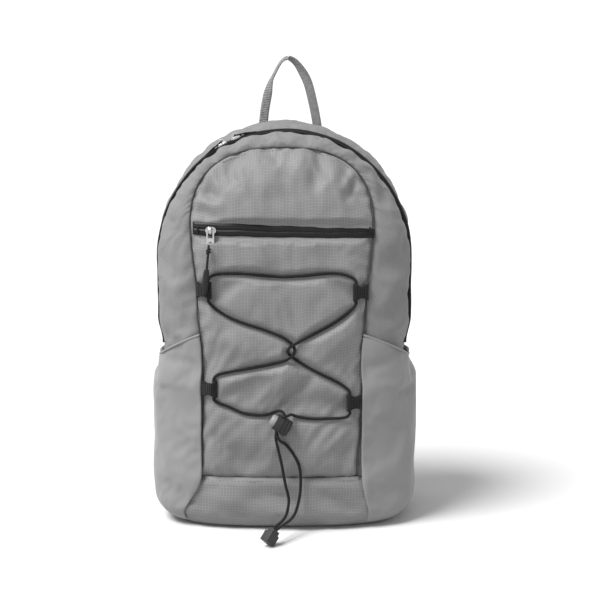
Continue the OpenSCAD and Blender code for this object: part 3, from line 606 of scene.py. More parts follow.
# Each material's name, kind and brightness, then what its kind can vary.
MATERIALS = {name: make(name, *values) for name, make, *values in (
    ("ripstop", ripstop, 0.152),
    ("plain_weave", plain_weave, 0.168),
    ("stretch", stretch_knit, 0.2),
    ("lining", plain_weave, 0.09, 1.0),
    ("foam", moulded, 0.04, 0.8, 260, 0.5),
    ("spacer_mesh", spacer_mesh, 0.07),
    ("zip_black", coil_tape, 0.004),
    ("nickel", metal, 0.5, 0.24),
    ("cord_black", braid, 0.004),
    ("coated_band", coated, 0.006),
    ("grip_rubber", moulded, 0.014, 0.5, 350, 0.2),
    ("webbing_black", webbing, 0.004),
    ("webbing_grey", webbing, 0.19, 1.8),
    ("strap_fabric", plain_weave, 0.1, 1.6, 0.5, True),
    ("cord_end_plastic", moulded, 0.035, 0.5),
    ("lock_plastic", moulded, 0.022, 0.45),
    ("button_plastic", moulded, 0.2, 0.42),
    ("spring_steel", metal, 0.6, 0.3),
    ("thread", plain_weave, 0.12, 0.6),
    # This dark colour is the real edge tape, and also the painted shadow line in the front panel's seam.
    ("binding", webbing, 0.045, 1.6),
)}


def dress(obj, material):
    """Gives an object its material."""
    obj.data.materials.clear()
    obj.data.materials.append(MATERIALS[material])
    return obj


def place(obj, material, node, body="pack"):
    """Gives an object its material, hides the CAD node it stands for, and puts it on the body it rides on.

    With no body its transform is baked into its mesh and it rides on no body."""
    dress(obj, material)
    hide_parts(node)
    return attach(obj, body) if body else bend_with_front(obj)


def bend_with_front(obj):
    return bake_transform(obj)


# ---- camera, light and floor ----

def make_camera():
    """A long lens 1.5 m away, looking down a little."""
    elevation = math.radians(9)
    aim = Vector((0.0164, 0, 0.230))
    data = bpy.data.cameras.new("camera")
    data.sensor_width = 36
    data.lens = 84.9
    camera = bpy.data.objects.new("camera", data)
    camera.location = aim + 1.5 * Vector((0, -math.cos(elevation), math.sin(elevation)))
    camera.rotation_euler = (math.pi / 2 - elevation, 0, 0)
    scene.collection.objects.link(camera)
    scene.camera = camera


def make_studio():
    """White all round and dimmer overhead, a soft sun from the upper left, and a floor."""
    scene.view_settings.view_transform = "Standard"
    world = bpy.data.worlds.new("studio")
    world.use_nodes = True
    tree = world.node_tree
    back = tree.nodes["Background"]
    back.inputs[0].default_value = (1, 1, 1, 1)
    direction = tree.nodes.new("ShaderNodeTexCoord")
    split = tree.nodes.new("ShaderNodeSeparateXYZ")
    strength = tree.nodes.new("ShaderNodeMapRange")
    strength.interpolation_type = "SMOOTHSTEP"
    for index, value in ((1, 0.12), (2, 0.6), (3, 1.1), (4, 0.62)):
        strength.inputs[index].default_value = value
    tree.links.new(direction.outputs["Generated"], split.inputs[0])
    tree.links.new(split.outputs[2], strength.inputs[0])
    tree.links.new(strength.outputs[0], back.inputs[1])
    scene.world = world
    key = bpy.data.lights.new("key", "SUN")
    key.energy = 5.2
    key.angle = math.radians(28)
    sun = bpy.data.objects.new("key", key)
    sun.rotation_euler = Vector((-0.46, -0.3, 0.84)).to_track_quat("Z", "Y").to_euler()
    scene.collection.objects.link(sun)
    corners = [(x * 6000, y * 6000, 0) for x, y in ((-1, -1), (1, -1), (1, 1), (-1, 1))]
    floor = new_object("floor", corners, [(0, 1, 2, 3)])
    s = Shader("floor")
    colour = s.tone(s.noise(2), 1.0, 0.57, 0.59)
    s.finish(colour, s.scaled(s.noise(5), 0.7, 0.8), s.noise(40), 0.02)
    floor.data.materials.append(s.material)


# ---- cloth ----

# Folds and dents of the front: start and end (x, z), width and height.
SIM_FRAMES = 20
FRONT_FOLDS = [
    ((-88, 356), (-66, 340), 9, -3.2), ((-92, 334), (-70, 322), 8, -2.6), ((-84, 344), (-62, 330), 6, 1.6),
    ((14, 392), (16, 350), 9, 1.4), ((-12, 391), (-6, 360), 10, -1.2), ((36, 388), (34, 352), 8, -1.2),
    ((62, 380), (70, 352), 5, -2.4), ((72, 372), (60, 350), 5, 2.0), ((78, 362), (62, 338), 6, -1.8),
    ((60, 200), (-4, 131), 9, -2.6), ((66, 208), (14, 158), 6, 1.4), ((30, 150), (-20, 116), 9, -1.6),
    ((-80, 236), (-40, 262), 8, -1.6), ((80, 240), (44, 262), 8, -1.8), ((-78, 142), (-44, 150), 8, -1.5),
    ((76, 128), (40, 136), 8, -1.6), ((-70, 300), (-66, 262), 10, 1.4), ((40, 302), (52, 268), 11, -1.4),
    ((-30, 304), (-18, 276), 12, 1.2), ((-60, 205), (-30, 190), 10, 1.2), ((0, 100), (40, 66), 14, 1.5),
    ((-60, 96), (-30, 58), 12, -1.6), ((-84, 110), (-60, 60), 9, 1.4), ((74, 112), (58, 62), 9, -1.8),
]
BASE_FOLDS = [
    ((-26, 41), (16, 30), 7, -2.6), ((24, 50), (76, 44), 6, 1.8), ((36, 36), (78, 20), 6, -2.4),
    ((-80, 40), (-40, 30), 8, 1.6), ((-70, 20), (-30, 14), 6, -1.5), ((-10, 22), (30, 14), 6, 1.5),
]


def front_relief(x, z):
    folds = sum(fold(x, z, *f) for f in FRONT_FOLDS)
    ease = wave((x, 0, z), 38, 1) * 3.2 + wave((x * 1.5, 0, z), 15, 2) * 1.0
    low = smooth((215 - z) / 30)
    slack = 0.5 + 0.5 * wave((x, 0, z), 55, 4)
    lines = low * 3.2 * crease(x, z, -42, 13, 60, 1) + (1 - low) * 2.2 * crease(x, z, 12, 15, 55, 2)
    return 2.3 * folds + ease + lines * slack


def crease(x, z, angle, across, length, seed):
    """Long sharp ridges from -1 to 1, running at an angle from upright."""
    c, s = math.cos(math.radians(angle)), math.sin(math.radians(angle))
    n = noise.noise(Vector(((x * c + z * s) / across, (z * c - x * s) / length, seed * 5.7)))
    return max(-1.0, 1 - 3.2 * abs(n))


def seam_ease(gap, run, reach=9.0, pucker=0.7):
    """How cloth dips into a seam and puckers beside it. gap is the distance to the seam."""
    near = math.exp(-gap / 1.9)
    return -3.6 * near + pucker * math.sin(run / 3.1 + 2 * math.sin(run / 11)) * math.exp(-gap / reach)


def front_cloth_rows():
    """The ripstop front, tucked a little under its seams."""
    rows = []
    n, m = FRONT_GRID
    tuck = 1.008
    for i in range(n):
        z = lerp(BASE_H, PANEL_TOP_Z - 0.35, math.sin(math.pi / 2 * i / (n - 1)) ** 0.9)
        xs = np.linspace(0.2 - panel_w(z, -1), panel_w(z, 1) - 0.2, m)
        rows.append([(x * tuck, front_y(x, z), z + max(0.0, z - PANEL_Z) * (tuck - 1)) for x in xs])
    return rows


def front_amount(i, j, p):
    x, z = p[0], p[2]
    side_gap = panel_w(z, math.copysign(1, x)) - abs(x)
    top_gap = (PANEL_TOP_Z - z) if z > PANEL_Z else 99
    gap = max(0.0, min(side_gap, top_gap, z - BASE_H))
    along = z if side_gap < top_gap and side_gap < z - BASE_H else x
    hold = smooth(gap / 14)
    return front_relief(x, z) * hold + seam_ease(gap, along)


def gusset_rows():
    n, m = GUSSET_GRID
    return [[gusset_point(u, t, BASE_H) for t in np.linspace(0, 1, m)] for u in np.linspace(0, 1, n)]


def gusset_amount(i, j, p):
    t = j / (GUSSET_GRID[1] - 1)
    along = i * 4.2
    hold = math.sin(math.pi * t)
    top = smooth((p[2] - 330) / 60)
    ripple = math.sin(along / 8.5 + 2.5 * wave(p, 60, 5)) * (0.9 * top + 0.35)
    line = crease(p[0], p[2], 8 if p[2] < 300 else 70, 12, 45, 3)
    bare = smooth((p[2] - 178) / 22)
    return hold * bare * (2.2 * wave(p, 30, 3) + 1.1 * ripple + 1.3 * line + 0.8) + seam_ease(
        min(t, 1 - t) * 26, along, 5, 0.5)


def rear_rows():
    n, m = REAR_GRID
    return [[rear_point(u, t, BASE_H) for t in np.linspace(0.066, 1, m)] for u in np.linspace(0, 1, n)]


def rear_amount(i, j, p):
    t = j / (REAR_GRID[1] - 1)
    line = crease(p[0] + p[1], p[2], 25, 14, 50, 6)
    return math.sin(math.pi * t) * (2.4 * wave(p, 36, 8) + 0.8 * wave(p, 14, 9) + 1.1 * line) + seam_ease(
        min(t, 1 - t) * 60, i * 4.5, 7, 0.6)


def base_rows():
    heights = [BASE_H - 0.3, 50, 47, 43, 39, 35, 31, 27, 23, 19, 15, 11.5, 8.5, 6, 4, 2.4, 1.2, 0.5]
    rows = [base_loop(z) for z in heights]
    floor = np.array(base_loop(0.0))
    middle = np.array([0, 0, 0.6])
    for share in (0.97, 0.85, 0.6, 0.3, 0.04):
        rows.append([tuple(p) for p in middle + (floor - middle) * share])
    return rows


def base_amount(i, j, p):
    x, z = p[0], p[2]
    if z < 0.9:
        return 0.0
    hold = smooth((BASE_H - z) / 8) * smooth((z - 1) / 12)
    folds = sum(fold(x, z, *f) for f in BASE_FOLDS) if p[1] < ZIP_Y - 20 else 0
    line = crease(x, z * 2, 70, 12, 50, 9)
    sag = 1.3 * folds + 1.8 * wave(p, 26, 12) + 0.6 * wave(p, 11, 13) + 0.9 * line
    return hold * sag + seam_ease(BASE_H - z, x + p[1], 7, 0.5)


def settle(obj, held, ease, pressure, cap):
    """Cloth cut a little too large buckles between the seams and points that hold it.

    held gives how firmly each vertex is held, from 0 to 1. No point moves by more than
    cap millimetres."""
    before = np.array([v.co for v in obj.data.vertices])
    pins = obj.vertex_groups.new(name="held")
    for index, weight in enumerate(held):
        pins.add([index], weight, "REPLACE")
    cloth = obj.modifiers.new("cloth", "CLOTH")
    set_all(
        cloth.settings, quality=8, mass=0.15, tension_stiffness=25, compression_stiffness=25, shear_stiffness=8,
        bending_stiffness=0.08, air_damping=2, vertex_group_mass="held", shrink_min=-ease, use_pressure=True,
        uniform_pressure_force=pressure)
    cloth.settings.effector_weights.gravity = 0
    cloth.point_cache.frame_start = 1
    cloth.point_cache.frame_end = SIM_FRAMES
    for number in range(1, SIM_FRAMES + 1):
        scene.frame_set(number)
    bake(obj)
    scene.frame_set(1)
    after = np.array([v.co for v in obj.data.vertices])
    move = after - before
    size = np.linalg.norm(move, axis=1, keepdims=True)
    move *= np.minimum(1, cap * MM / np.maximum(size, 1e-9))
    obj.data.vertices.foreach_set("co", (before + move).ravel())
    obj.data.update()
    return obj


def edge_hold(n, m, extra=None):
    """How firmly each point of an n by m grid is held: its border, and extra(i, j) elsewhere."""
    return [1.0 if i in (0, n - 1) or j in (0, m - 1) else (extra(i, j) if extra else 0.0)
            for i in range(n) for j in range(m)]


def refine(obj):
    smooth_more = obj.modifiers.new("refine", "SUBSURF")
    smooth_more.levels = smooth_more.render_levels = 1
    return bake(obj)


def press_back(obj, line, reach, keep, swell=5.0):
    """Presses cloth back behind a cord or band that lies on it.

    The cloth stays keep millimetres behind the line, and may swell beside it."""
    for v in obj.data.vertices:
        x, y, z = v.co / MM
        gap = np.hypot(line[:, 0] - x, line[:, 2] - z)
        near = gap < reach
        if near.any():
            limit = np.max(line[near, 1] + keep - swell * (gap[near] / reach) ** 2)
            v.co.y = max(y, limit) * MM
    obj.data.update()


def make_cloth():
    """The four sewn parts of the body."""
    front = grid_object("front_cloth", push(front_cloth_rows(), front_amount))
    face_out(front)
    refine(settle(front, edge_hold(*FRONT_GRID), 0.03, 1.0, 5))
    for path in (LACE_LEFT_PATH, LACE_RIGHT_PATH):
        press_back(front, resample(path, 1.2), 8, CORD_D / 2 + 0.3)
    for z in (BAND_Z - 5.5, BAND_Z - 2, BAND_Z + 2, BAND_Z + 5.5):
        press_back(front, np.array([(x, front_y(x, z) + 0.1, z) for x in range(-93, 94, 2)]), 7, 0.0)
    thicken(front, 1.0)
    dress(front, "ripstop")
    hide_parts("lower_front", "front_fold", "front_panel")
    bend_with_front(front)
    rows = push(gusset_rows(), gusset_amount)
    gusset = grid_object("gusset_cloth", rows)
    face_out(gusset)
    held = edge_hold(*GUSSET_GRID, lambda i, j: 1.0 if rows[i][j][2] < 192 else 0.0)
    thicken(refine(settle(gusset, held, 0.03, 1.0, 4)), 1.0)
    place(gusset, "plain_weave", "front_gusset", None)
    rear = grid_object("rear_cloth", push(rear_rows(), rear_amount))
    face_out(rear)
    thicken(refine(settle(rear, edge_hold(*REAR_GRID), 0.025, 1.0, 4)), 1.0)
    place(rear, "plain_weave", "rear_shell")
    base = grid_object("base_cloth", push(base_rows(), base_amount, BASE_INSIDE), wrap=True)
    thicken(base, 1.0, BASE_INSIDE)
    place(base, "ripstop", "base_panel")
    return front, gusset, base


def pocket_amount(i, j, p):
    n, m = POCKET_GRID
    s = j / (m - 1)
    mouth = smooth((s - 0.55) / 0.4)
    diagonal = math.sin((p[2] * 0.8 + abs(p[1]) * 1.1) / 9 + 2 * wave(p, 40, 21))
    hold = math.sin(math.pi * min(1.0, i / (n - 1))) ** 0.4
    return hold * (2.4 * wave(p, 42, 23) + 0.8 * mouth * diagonal) - 0.3


def make_pocket(side, name):
    """A stretch side pocket with an open, hemmed mouth."""
    n, m = POCKET_GRID
    vs, ss = np.linspace(0, 1, n), np.linspace(0.002, 1, m)
    rows = [[pocket_point(side, (mouth_z(v) - 0.8) * s, v, 0.2) for s in ss] for v in vs]
    cloth = grid_object(f"side_pocket_{name}_cloth", push(rows, pocket_amount, POCKET_INSIDE))
    face_out(cloth, POCKET_INSIDE)
    thicken(refine(settle(cloth, edge_hold(n, m), 0.025, 0.5, 3)), 1.0, POCKET_INSIDE)
    place(cloth, "stretch", f"side_pocket_{name}")
    edge = [pocket_point(side, mouth_z(v) - 1.1, v, 0.1) for v in np.linspace(0, 1, 145)]
    place(tube(f"pocket_hem_{name}_cloth", edge, 1.25), "stretch", f"pocket_hem_{name}")


# ---- seams ----

def on_surface(tree, point, lift):
    """The nearest point of a cloth to a point in millimetres, lifted along its normal."""
    found, normal, _, _ = tree.find_nearest(Vector(point) * MM)
    return np.array(found) / MM + np.array(normal) * lift, np.array(normal)


def surface_tree(*objects):
    points, faces = [], []
    for obj in objects:
        start = len(points)
        points += [v.co.copy() for v in obj.data.vertices]
        faces += [[start + k for k in p.vertices] for p in obj.data.polygons]
    return BVHTree.FromPolygons(points, faces)


def resample(path, step):
    path = np.array(path, float)
    run = np.concatenate([[0], np.cumsum(np.linalg.norm(np.diff(path, axis=0), axis=1))])
    at = np.arange(0, run[-1], step)
    return np.array([[np.interp(s, run, path[:, k]) for k in range(3)] for s in at])


def stitches(name, tree, path):
    """A row of raised stitches laid on cloth along a path."""
    long, pitch, radius = 2.7, 4.0, 0.33
    points, faces = [], []
    line = resample(path, pitch)
    for a, b in zip(line[:-1], line[1:]):
        d = (b - a) / np.linalg.norm(b - a)
        centre, normal = on_surface(tree, (a + b) / 2, 0.12)
        across = np.cross(normal, d)
        start = len(points)
        for end, lift in ((-0.5, 0), (-0.3, radius), (0.3, radius), (0.5, 0)):
            for side in (-1, 0, 1):
                up = lift if side == 0 else lift * 0.4 - 0.15
                points.append(centre + d * end * long + across * side * radius + normal * up)
        for k in range(3):
            for m in range(2):
                i = start + k * 3 + m
                faces.append([i, i + 1, i + 4, i + 3])
    obj = new_object(name, points, faces, [(0, 0)] * sum(len(f) for f in faces))
    dress(obj, "thread")
    return obj


def panel_seam(inset, low_z, count=240):
    """The front panel's outline, moved inwards by inset."""
    out = []
    for u in np.linspace(0, 1, count):
        x, z = panel_arch(u, low_z)
        centre = np.array([0, min(z, PANEL_Z)])
        d = np.array([x, z]) - centre
        q = centre + d * (1 - inset / np.linalg.norm(d))
        out.append((q[0], front_y(q[0], q[1]), q[1]))
    return out


def make_seams(front, gusset, base):
    """A dark tube of painted shadow in the panel's seam groove, the stitching beside the seams, and the binding
    round the back.
    """
    body = surface_tree(front, gusset)
    bend_with_front(stitches("panel_stitch", body, panel_seam(3.2, BASE_H + 4)))
    # Painted shadow: a dark tube lies in the panel's seam groove, where only shade falls; the seam itself has
    # no dark line.
    groove = [(x, y + 0.9, z) for x, y, z in panel_seam(0.2, BASE_H)]
    bend_with_front(dress(tube("panel_seam_painted_shadow", groove, 0.75, 8), "binding"))
    hull = surface_tree(base)
    low = base_loop(BASE_H - 3.6)
    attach(stitches("base_stitch", hull, low + low[:1]), "pack")
    outline = [back_arch(u, BASE_R + 4) for u in np.linspace(0, 1, 160)]
    edge = [(x, ZIP_Y + REAR_DEPTH + 1.6, z) for x, z in outline]
    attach(dress(tube("back_binding", edge, 2.0, 10), "binding"), "pack")


# ---- main zip ----

ZIP_LOW_Z = 186.0


def zip_path(radial, y, count=300):
    """A line along the main zip, radial millimetres outside the arch."""
    out = []
    for k, u in enumerate(np.linspace(0, 1, count)):
        x, z = zip_arch(u, ZIP_LOW_Z)
        d = Vector((x, max(0.0, z - ARCH_Z))).normalized()
        sway = 0.5 * math.sin(k / 9) + 0.4 * math.sin(k / 3.7)
        out.append((x + d.x * (radial + 0.4 * sway), y + 0.35 * sway, z + d.y * (radial + 0.4 * sway)))
    return out


def make_main_zip():
    """Two tapes, each with half of the coil; the rear one rides on the pack."""
    for way, node, stop in ((1, "main_zip_rear", True), (-1, "main_zip_front", False)):
        tape_path = zip_path(0.3, ZIP_Y + way * 2.3)
        outward = [(x, 0, max(0.0, z - ARCH_Z)) for x, _, z in tape_path]
        tape = sweep(node + "_tape", tape_path, lambda i: flat_section(4.4, 4.2, 0.5), sides=outward)
        coil = tube(node + "_coil", zip_path(2.1, ZIP_Y + way * 0.85), 0.8, 8)
        obj = dress(joined(node + "_look", [tape, coil]), "zip_black")
        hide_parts(node, *(["main_zip_stops"] if stop else []))
        if way > 0:
            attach(obj, "pack")
        else:
            bend_with_front(obj)


def restyle(node, material, bevel=0.4, segments=3):
    """A CAD node's own shape with its edges rounded."""
    cad = frame["nodes"][node]
    obj = bpy.data.objects.new(node + "_look", cad.data.copy())
    scene.collection.objects.link(obj)
    set_all(obj.modifiers.new("weld", "WELD"), merge_threshold=0.00001)
    set_all(obj.modifiers.new("flat", "DECIMATE"), decimate_type="DISSOLVE", angle_limit=math.radians(1))
    set_all(obj.modifiers.new("bevel", "BEVEL"), width=bevel * MM, segments=segments, limit_method="ANGLE",
            angle_limit=math.radians(35))
    bake(obj)
    obj.data.polygons.foreach_set("use_smooth", [True] * len(obj.data.polygons))
    obj.data.set_sharp_from_angle(angle=math.radians(50))
    return place(obj, material, node, cad["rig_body"])


# ---- front pocket ----

def make_pocket_band():
    """The coated zip across the front: two lips that meet over a hidden coil."""
    half = 92.0
    rows = []
    for x in np.linspace(-half, half, 93):
        top_y = front_y(x, BAND_Z + BAND_H / 2) - 0.4
        low_y = min(front_y(x, BAND_Z - BAND_H / 2) - 0.4, top_y)
        row = []
        for t in np.linspace(-1, 1, 25):
            swell = 1.1 * (1 - abs(t) ** 6) + 0.25 * math.cos(6 * math.pi * t) * (1 - abs(t))
            slit = 1.5 * math.exp(-((t / 0.07) ** 2))
            sway = 0.25 * math.sin(x / 9) + 0.2 * math.sin(x / 4.1 + t)
            droop = lerp(1.5, -3.5, (x + half) / (2 * half))
            high = lerp(BAND_H, BAND_H - 3.5, (x + half) / (2 * half)) / 2
            row.append((x, lerp(top_y, low_y, (1 - t) / 2) - swell + slit, BAND_Z + droop + high * t + sway))
        rows.append(row)
    band = thicken(grid_object("pocket_band", rows), 0.8)
    place(band, "coated_band", "pocket_zip_band", "front_flap")


def make_pocket_bag():
    """The front pocket's thin bag, hanging clear of the front's dents."""
    low, high = (np.array(c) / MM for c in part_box("pocket_lining"))
    rows = []
    for z in np.linspace(low[2] + 1, high[2] - 1, 31):
        edge = min(high[0] - 1, panel_w(z, -1) - 3, panel_w(z, 1) - 3)
        xs = np.linspace(-edge, edge, 41)
        rows.append([(x, front_y(x, z) + 6.5 + 1.4 * wave((x, 0, z), 30, 70), z) for x in xs])
    bag = thicken(grid_object("pocket_bag", rows), 0.6)
    place(bag, "lining", "pocket_lining", None)


def make_pull():
    """Slider, tab, knotted cord and moulded grip of the front pocket."""
    restyle("pocket_slider", "nickel", 0.35)
    restyle("pocket_pull_tab", "nickel", 0.4)
    low, high = (np.array(c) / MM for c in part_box("pocket_pull_cord"))
    grip_low, grip_high = (np.array(c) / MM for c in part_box("pocket_pull_grip"))
    x, y, top = (low[0] + high[0]) / 2, (low[1] + high[1]) / 2, high[2]
    grip_y = (grip_low[1] + grip_high[1]) / 2
    grip_top = (x - 0.8, grip_y, grip_high[2] - 2)
    shares = (0, 0.3, 0.7, 1)
    grip_path = spline([(x - 0.8 - 2.4 * t, grip_y, lerp(grip_high[2], grip_low[2], t)) for t in shares], 6)

    def grip_section(i):
        end = math.sin(math.pi * min(1.0, max(0.0, 0.1 + 0.8 * i / (len(grip_path) - 1)))) ** 0.35
        return flat_section(6.4 * end, 4.6 * end, 0.9)

    grip = sweep("pull_grip_look", grip_path, grip_section, sides=[(1, 0, 0)] * len(grip_path))
    place(grip, "grip_rubber", "pocket_pull_grip", "pocket_pull")
    body = spline(
        [(x + 1.2, high[1] - 2, top - 1), (x + 1, y, top - 5), (x + 0.4, y - 1, top - 12), grip_top], 8)
    cord = tube("pull_cord", body, 1.2)
    turns = [(x + 1 + 1.5 * math.cos(a), y - 0.3 + 1.4 * math.sin(a), top - 4.5 - 0.45 * a)
             for a in np.linspace(0, 3 * math.pi, 30)]
    knotted = joined("pull_cord_look", [cord, tube("pull_knot", turns, 1.1)])
    place(knotted, "cord_black", "pocket_pull_cord", "pocket_pull")


# ---- loops, lacing and tails ----

LOOPS = {
    "upper_left": (-76, 251), "upper_right": (73, 249), "lower_left": (-71, 150),
    "lower_right": (67, 136),
}
LOOP_H = 17.0
EYE_R = CORD_D / 2 + 0.5
LOOP_T = 1.4
LOOP_REACH = 12.5
LOOP_LIFT = EYE_R + LOOP_T + 0.4


def eye_y(x, z):
    return min(front_y(x, z - LOOP_H / 2), front_y(x, z + LOOP_H / 2)) - LOOP_LIFT


def through(loop, way):
    """The lacing's points in a loop's eye, going up (1) or down (-1)."""
    x, z = LOOPS[loop]
    return [(x, z + way * rise, 0) for rise in (-11, -8, 0, 8, 11)]


# The lacing's route: x, z and the lift of the cord's centre off the panel. A point with
# no lift is in a loop's eye.
LACING_LEFT = [
    (-10, 127, 3), (-19, 124, 3), (-30, 124, 3), (-42, 126, 3), (-56, 132, 2.5), (-67, 136, 3.5),
    *through("lower_left", 1), (-67, 165, 3.5), (-56, 168, 2.5), (-40, 171, 2.5), (-24, 174, 2.5),
    (-10, 177, 2.5), (0, 180, 4.5), (8, 185, 6), (11, 190, 5), (9, 196, 2), (2, 202, 2), (-8, 207, 2.3),
    (-24, 213, 2.5), (-40, 218, 2.5), (-55, 224, 2.5), (-67, 231, 2.5), (-74, 237, 3.5),
    *through("upper_left", 1), (-72, 266, 3.5), (-60, 268, 2.5), (-40, 268, 2.5), (-18, 266, 2.5),
    (0, 265, 2.5),
]
LACING_RIGHT = [
    (0, 265, 2.5), (20, 266, 2.5), (40, 268, 2.5), (56, 268, 2.5), (69, 264, 3.5),
    *through("upper_right", -1), (70, 233, 3.5), (61, 225, 2.5), (49, 217, 2.5), (36, 210, 2.5),
    (24, 204, 3.5), (14, 199, 5.5), (7, 195, 6), (4, 190, 4.5), (7, 185, 2), (15, 179, 1.9),
    (30, 170, 2.3), (46, 162, 2.5), (57, 156, 2.5), (65, 150, 3.5), *through("lower_right", -1),
    (63, 121, 3.5), (48, 120, 2.5), (30, 120, 2.5), (16, 122, 3), (8, 125, 5),
]
TAIL_LEFT = [
    (-8, -87.5, 101), (-6, -89, 92), (-4, -86, 82), (-2, -84, 72), (0, -83, 60), (2, -83, 50),
    (4, -83, 42), (5, -84, 35), (4, -87, 28), (2, -92, 22), (-2, -100, 18.5), (-6.5, -109, 17.5),
    (-10.8, -117.6, 15.4),
]
TAIL_RIGHT = [
    (-4.6, -90.5, 101), (2, -86, 95), (8, -84, 87), (13, -83, 78), (16, -82, 69), (17, -82, 60),
    (17, -82, 50), (16, -84, 40), (14, -87, 31), (11, -93, 24), (6, -101, 20), (-1, -111, 18),
    (-8.4, -120.2, 15.4),
]
LOCK = (-5.0, front_y(-5, 118) - 13.5, 118.0)
LOCK_TILT = math.radians(30)
LOCK_R = 8.0
HOLE_Z = -1.8
LANE = 1.7


def lock_point(lane, along):
    """A point on the way through the cord lock's cross hole."""
    s, c = math.sin(LOCK_TILT), math.cos(LOCK_TILT)
    return LOCK[0] + along * s - HOLE_Z * c, LOCK[1] + lane, LOCK[2] + along * c + HOLE_Z * s


def by_lock(dx, dy, dz):
    return LOCK[0] + dx, LOCK[1] + dy, LOCK[2] + dz


def lace_point(x, z, lift):
    if lift:
        return x, front_y(x, z) - lift, z
    side = "left" if x < 0 else "right"
    return x, eye_y(*LOOPS[("upper_" if z > 200 else "lower_") + side]), z


LACE_LEFT_PATH = spline(
    [lock_point(LANE, -LOCK_R), lock_point(LANE, 0), lock_point(LANE, LOCK_R)]
    + [by_lock(5.3, 3.5, 9), by_lock(3, 7, 10.6), by_lock(0, 9.9, 10.5)]
    + [lace_point(*p) for p in LACING_LEFT], 4)
LACE_RIGHT_PATH = spline(
    [lace_point(*p) for p in LACING_RIGHT]
    + [by_lock(11.5, 3, 8), by_lock(9, -1, 8)]
    + [lock_point(-LANE, LOCK_R), lock_point(-LANE, 0), lock_point(-LANE, -LOCK_R)], 4)
TAIL_LEFT_PATH = spline([lock_point(LANE, -LOCK_R)] + TAIL_LEFT, 5)
TAIL_RIGHT_PATH = spline([lock_point(-LANE, -LOCK_R)] + TAIL_RIGHT, 5)


def make_lacing():
    """The elastic cord's two strands on the front, and its two free tails."""
    for name, path in (("left", LACE_LEFT_PATH), ("right", LACE_RIGHT_PATH)):
        obj = dress(tube(f"lacing_{name}_cord", path, CORD_D / 2, 12), "cord_black")
        bend_with_front(obj)
        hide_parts(f"lacing_{name}")
    for name, path in (("left", TAIL_LEFT_PATH), ("right", TAIL_RIGHT_PATH)):
        obj = dress(tube(f"tail_{name}_cord", path, CORD_D / 2, 12), "cord_black")
        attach(obj, "pack")
        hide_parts(f"tail_{name}")


def make_loop(name):
    """Folded webbing from the seam to a round eye, pinched in at its waist."""
    x0, z0 = LOOPS[name]
    side = math.copysign(1, x0)
    y0 = eye_y(x0, z0)
    r = EYE_R + LOOP_T / 2
    root_y = front_y(x0 + side * LOOP_REACH, z0) - 0.9
    outline = [(LOOP_REACH, root_y - 0.8), (8, lerp(y0 - r, root_y, 0.45)), (3, y0 - r)]
    outline += [(r * math.sin(a), y0 - r * math.cos(a)) for a in np.linspace(0, -math.pi, 12)]
    outline += [(3, y0 + r * 0.8), (8, lerp(y0 + r * 0.6, root_y, 0.6)), (LOOP_REACH, root_y + 0.4)]
    path = spline([(a, b, 0) for a, b in outline], 3)
    rows = []
    for a, b, _ in path:
        share = min(1.0, max(0.0, a / LOOP_REACH))
        height = LOOP_H * (1 - 0.34 * math.sin(math.pi * share**0.8))
        rows.append([(x0 + side * a, b, z0 + height * (t - 0.5)) for t in np.linspace(0, 1, 9)])
    obj = thicken(grid_object(f"loop_{name}_look", rows), 1.2, (x0, y0, z0), 0.0)
    place(obj, "webbing_black", f"loop_{name}", None if "upper" in name else "pack")


def make_handle():
    """The grab handle: flat at its feet, and turned edge-on at the top."""
    middle_x, width, foot_z, height = 6, 57, 414.5, 69
    shares = [(-0.515, -0.06), (-0.47, 0.25), (-0.38, 0.6), (-0.3, 0.755), (-0.17, 0.94), (-0.05, 1),
              (0.08, 0.95), (0.2, 0.825), (0.33, 0.62), (0.43, 0.3), (0.49, 0.05), (0.51, -0.06)]
    path = spline([(middle_x + a * width, 50, foot_z + b * height) for a, b in shares], 6)
    t, _ = frames_along(path)
    sides = []
    for p, d in zip(path, t):
        rise = (p[2] - foot_z) / height
        right = smooth((p[0] + 4) / 16)
        turn = math.radians(lerp(78, 52, right)) * smooth((rise - lerp(0.35, 0.62, right)) / 0.4)
        flat = np.array([-d[2], 0, d[0]])
        back = np.array([0, 1, 0]) * math.sin(turn) * math.copysign(1, -flat[0] or 1)
        sides.append(flat * math.cos(turn) + back)
    for i in range(1, len(sides)):
        if np.dot(sides[i], sides[i - 1]) < 0:
            sides[i] = -sides[i]
    obj = sweep("handle_look", path, lambda i: flat_section(9.6, 2.2, 0.3), sides=sides)
    place(obj, "webbing_grey", "grab_handle", "grab_handle")


# ---- back and straps ----

def make_back():
    """The padded back: raised pads with channels between them, under mesh."""
    rows = []
    low_z = BASE_R + 1
    for z in np.linspace(low_z, BACK_ARCH_Z + BACK_HALF_W - 0.6, 100):
        w = BACK_HALF_W if z < BACK_ARCH_Z else math.sqrt(max(4.0, BACK_HALF_W**2 - (z - BACK_ARCH_Z) ** 2))
        corner = 24 - math.sqrt(max(0.0, 24**2 - max(0.0, 24 - (z - low_z)) ** 2))
        w -= corner
        row = []
        for k in np.linspace(-1, 1, 71):
            x = w * k
            edge = min(w - abs(x), z - low_z, BACK_ARCH_Z + BACK_HALF_W - z)
            pad = smooth(abs(x) / 12 - 0.6) * smooth(min(1, edge / 9))
            for band_z in (130, 215, 300):
                pad *= 1 - 0.85 * math.exp(-(((z - band_z - 0.12 * abs(x)) / 6) ** 2))
            row.append((x, BACK_FACE_Y - 2.2 + 4.4 * pad + 0.6 * wave((x, 0, z), 25, 40) * pad, z))
        rows.append(row)
    pad = thicken(grid_object("back_pad", rows), 3.0)
    place(pad, "spacer_mesh", "back_mesh")


STRAP = [
    (0, 8, 374), (1, 15, 362), (4, 26, 340), (9, 33, 312), (17, 35, 280), (26, 34, 245), (33, 30, 208),
    (38, 24, 174), (40, 20, 150),
]
WEBBING = [(0, 17, 112), (5, 13, 96), (13, 8, 74), (20, 5, 56), (24, 4.4, 44)]


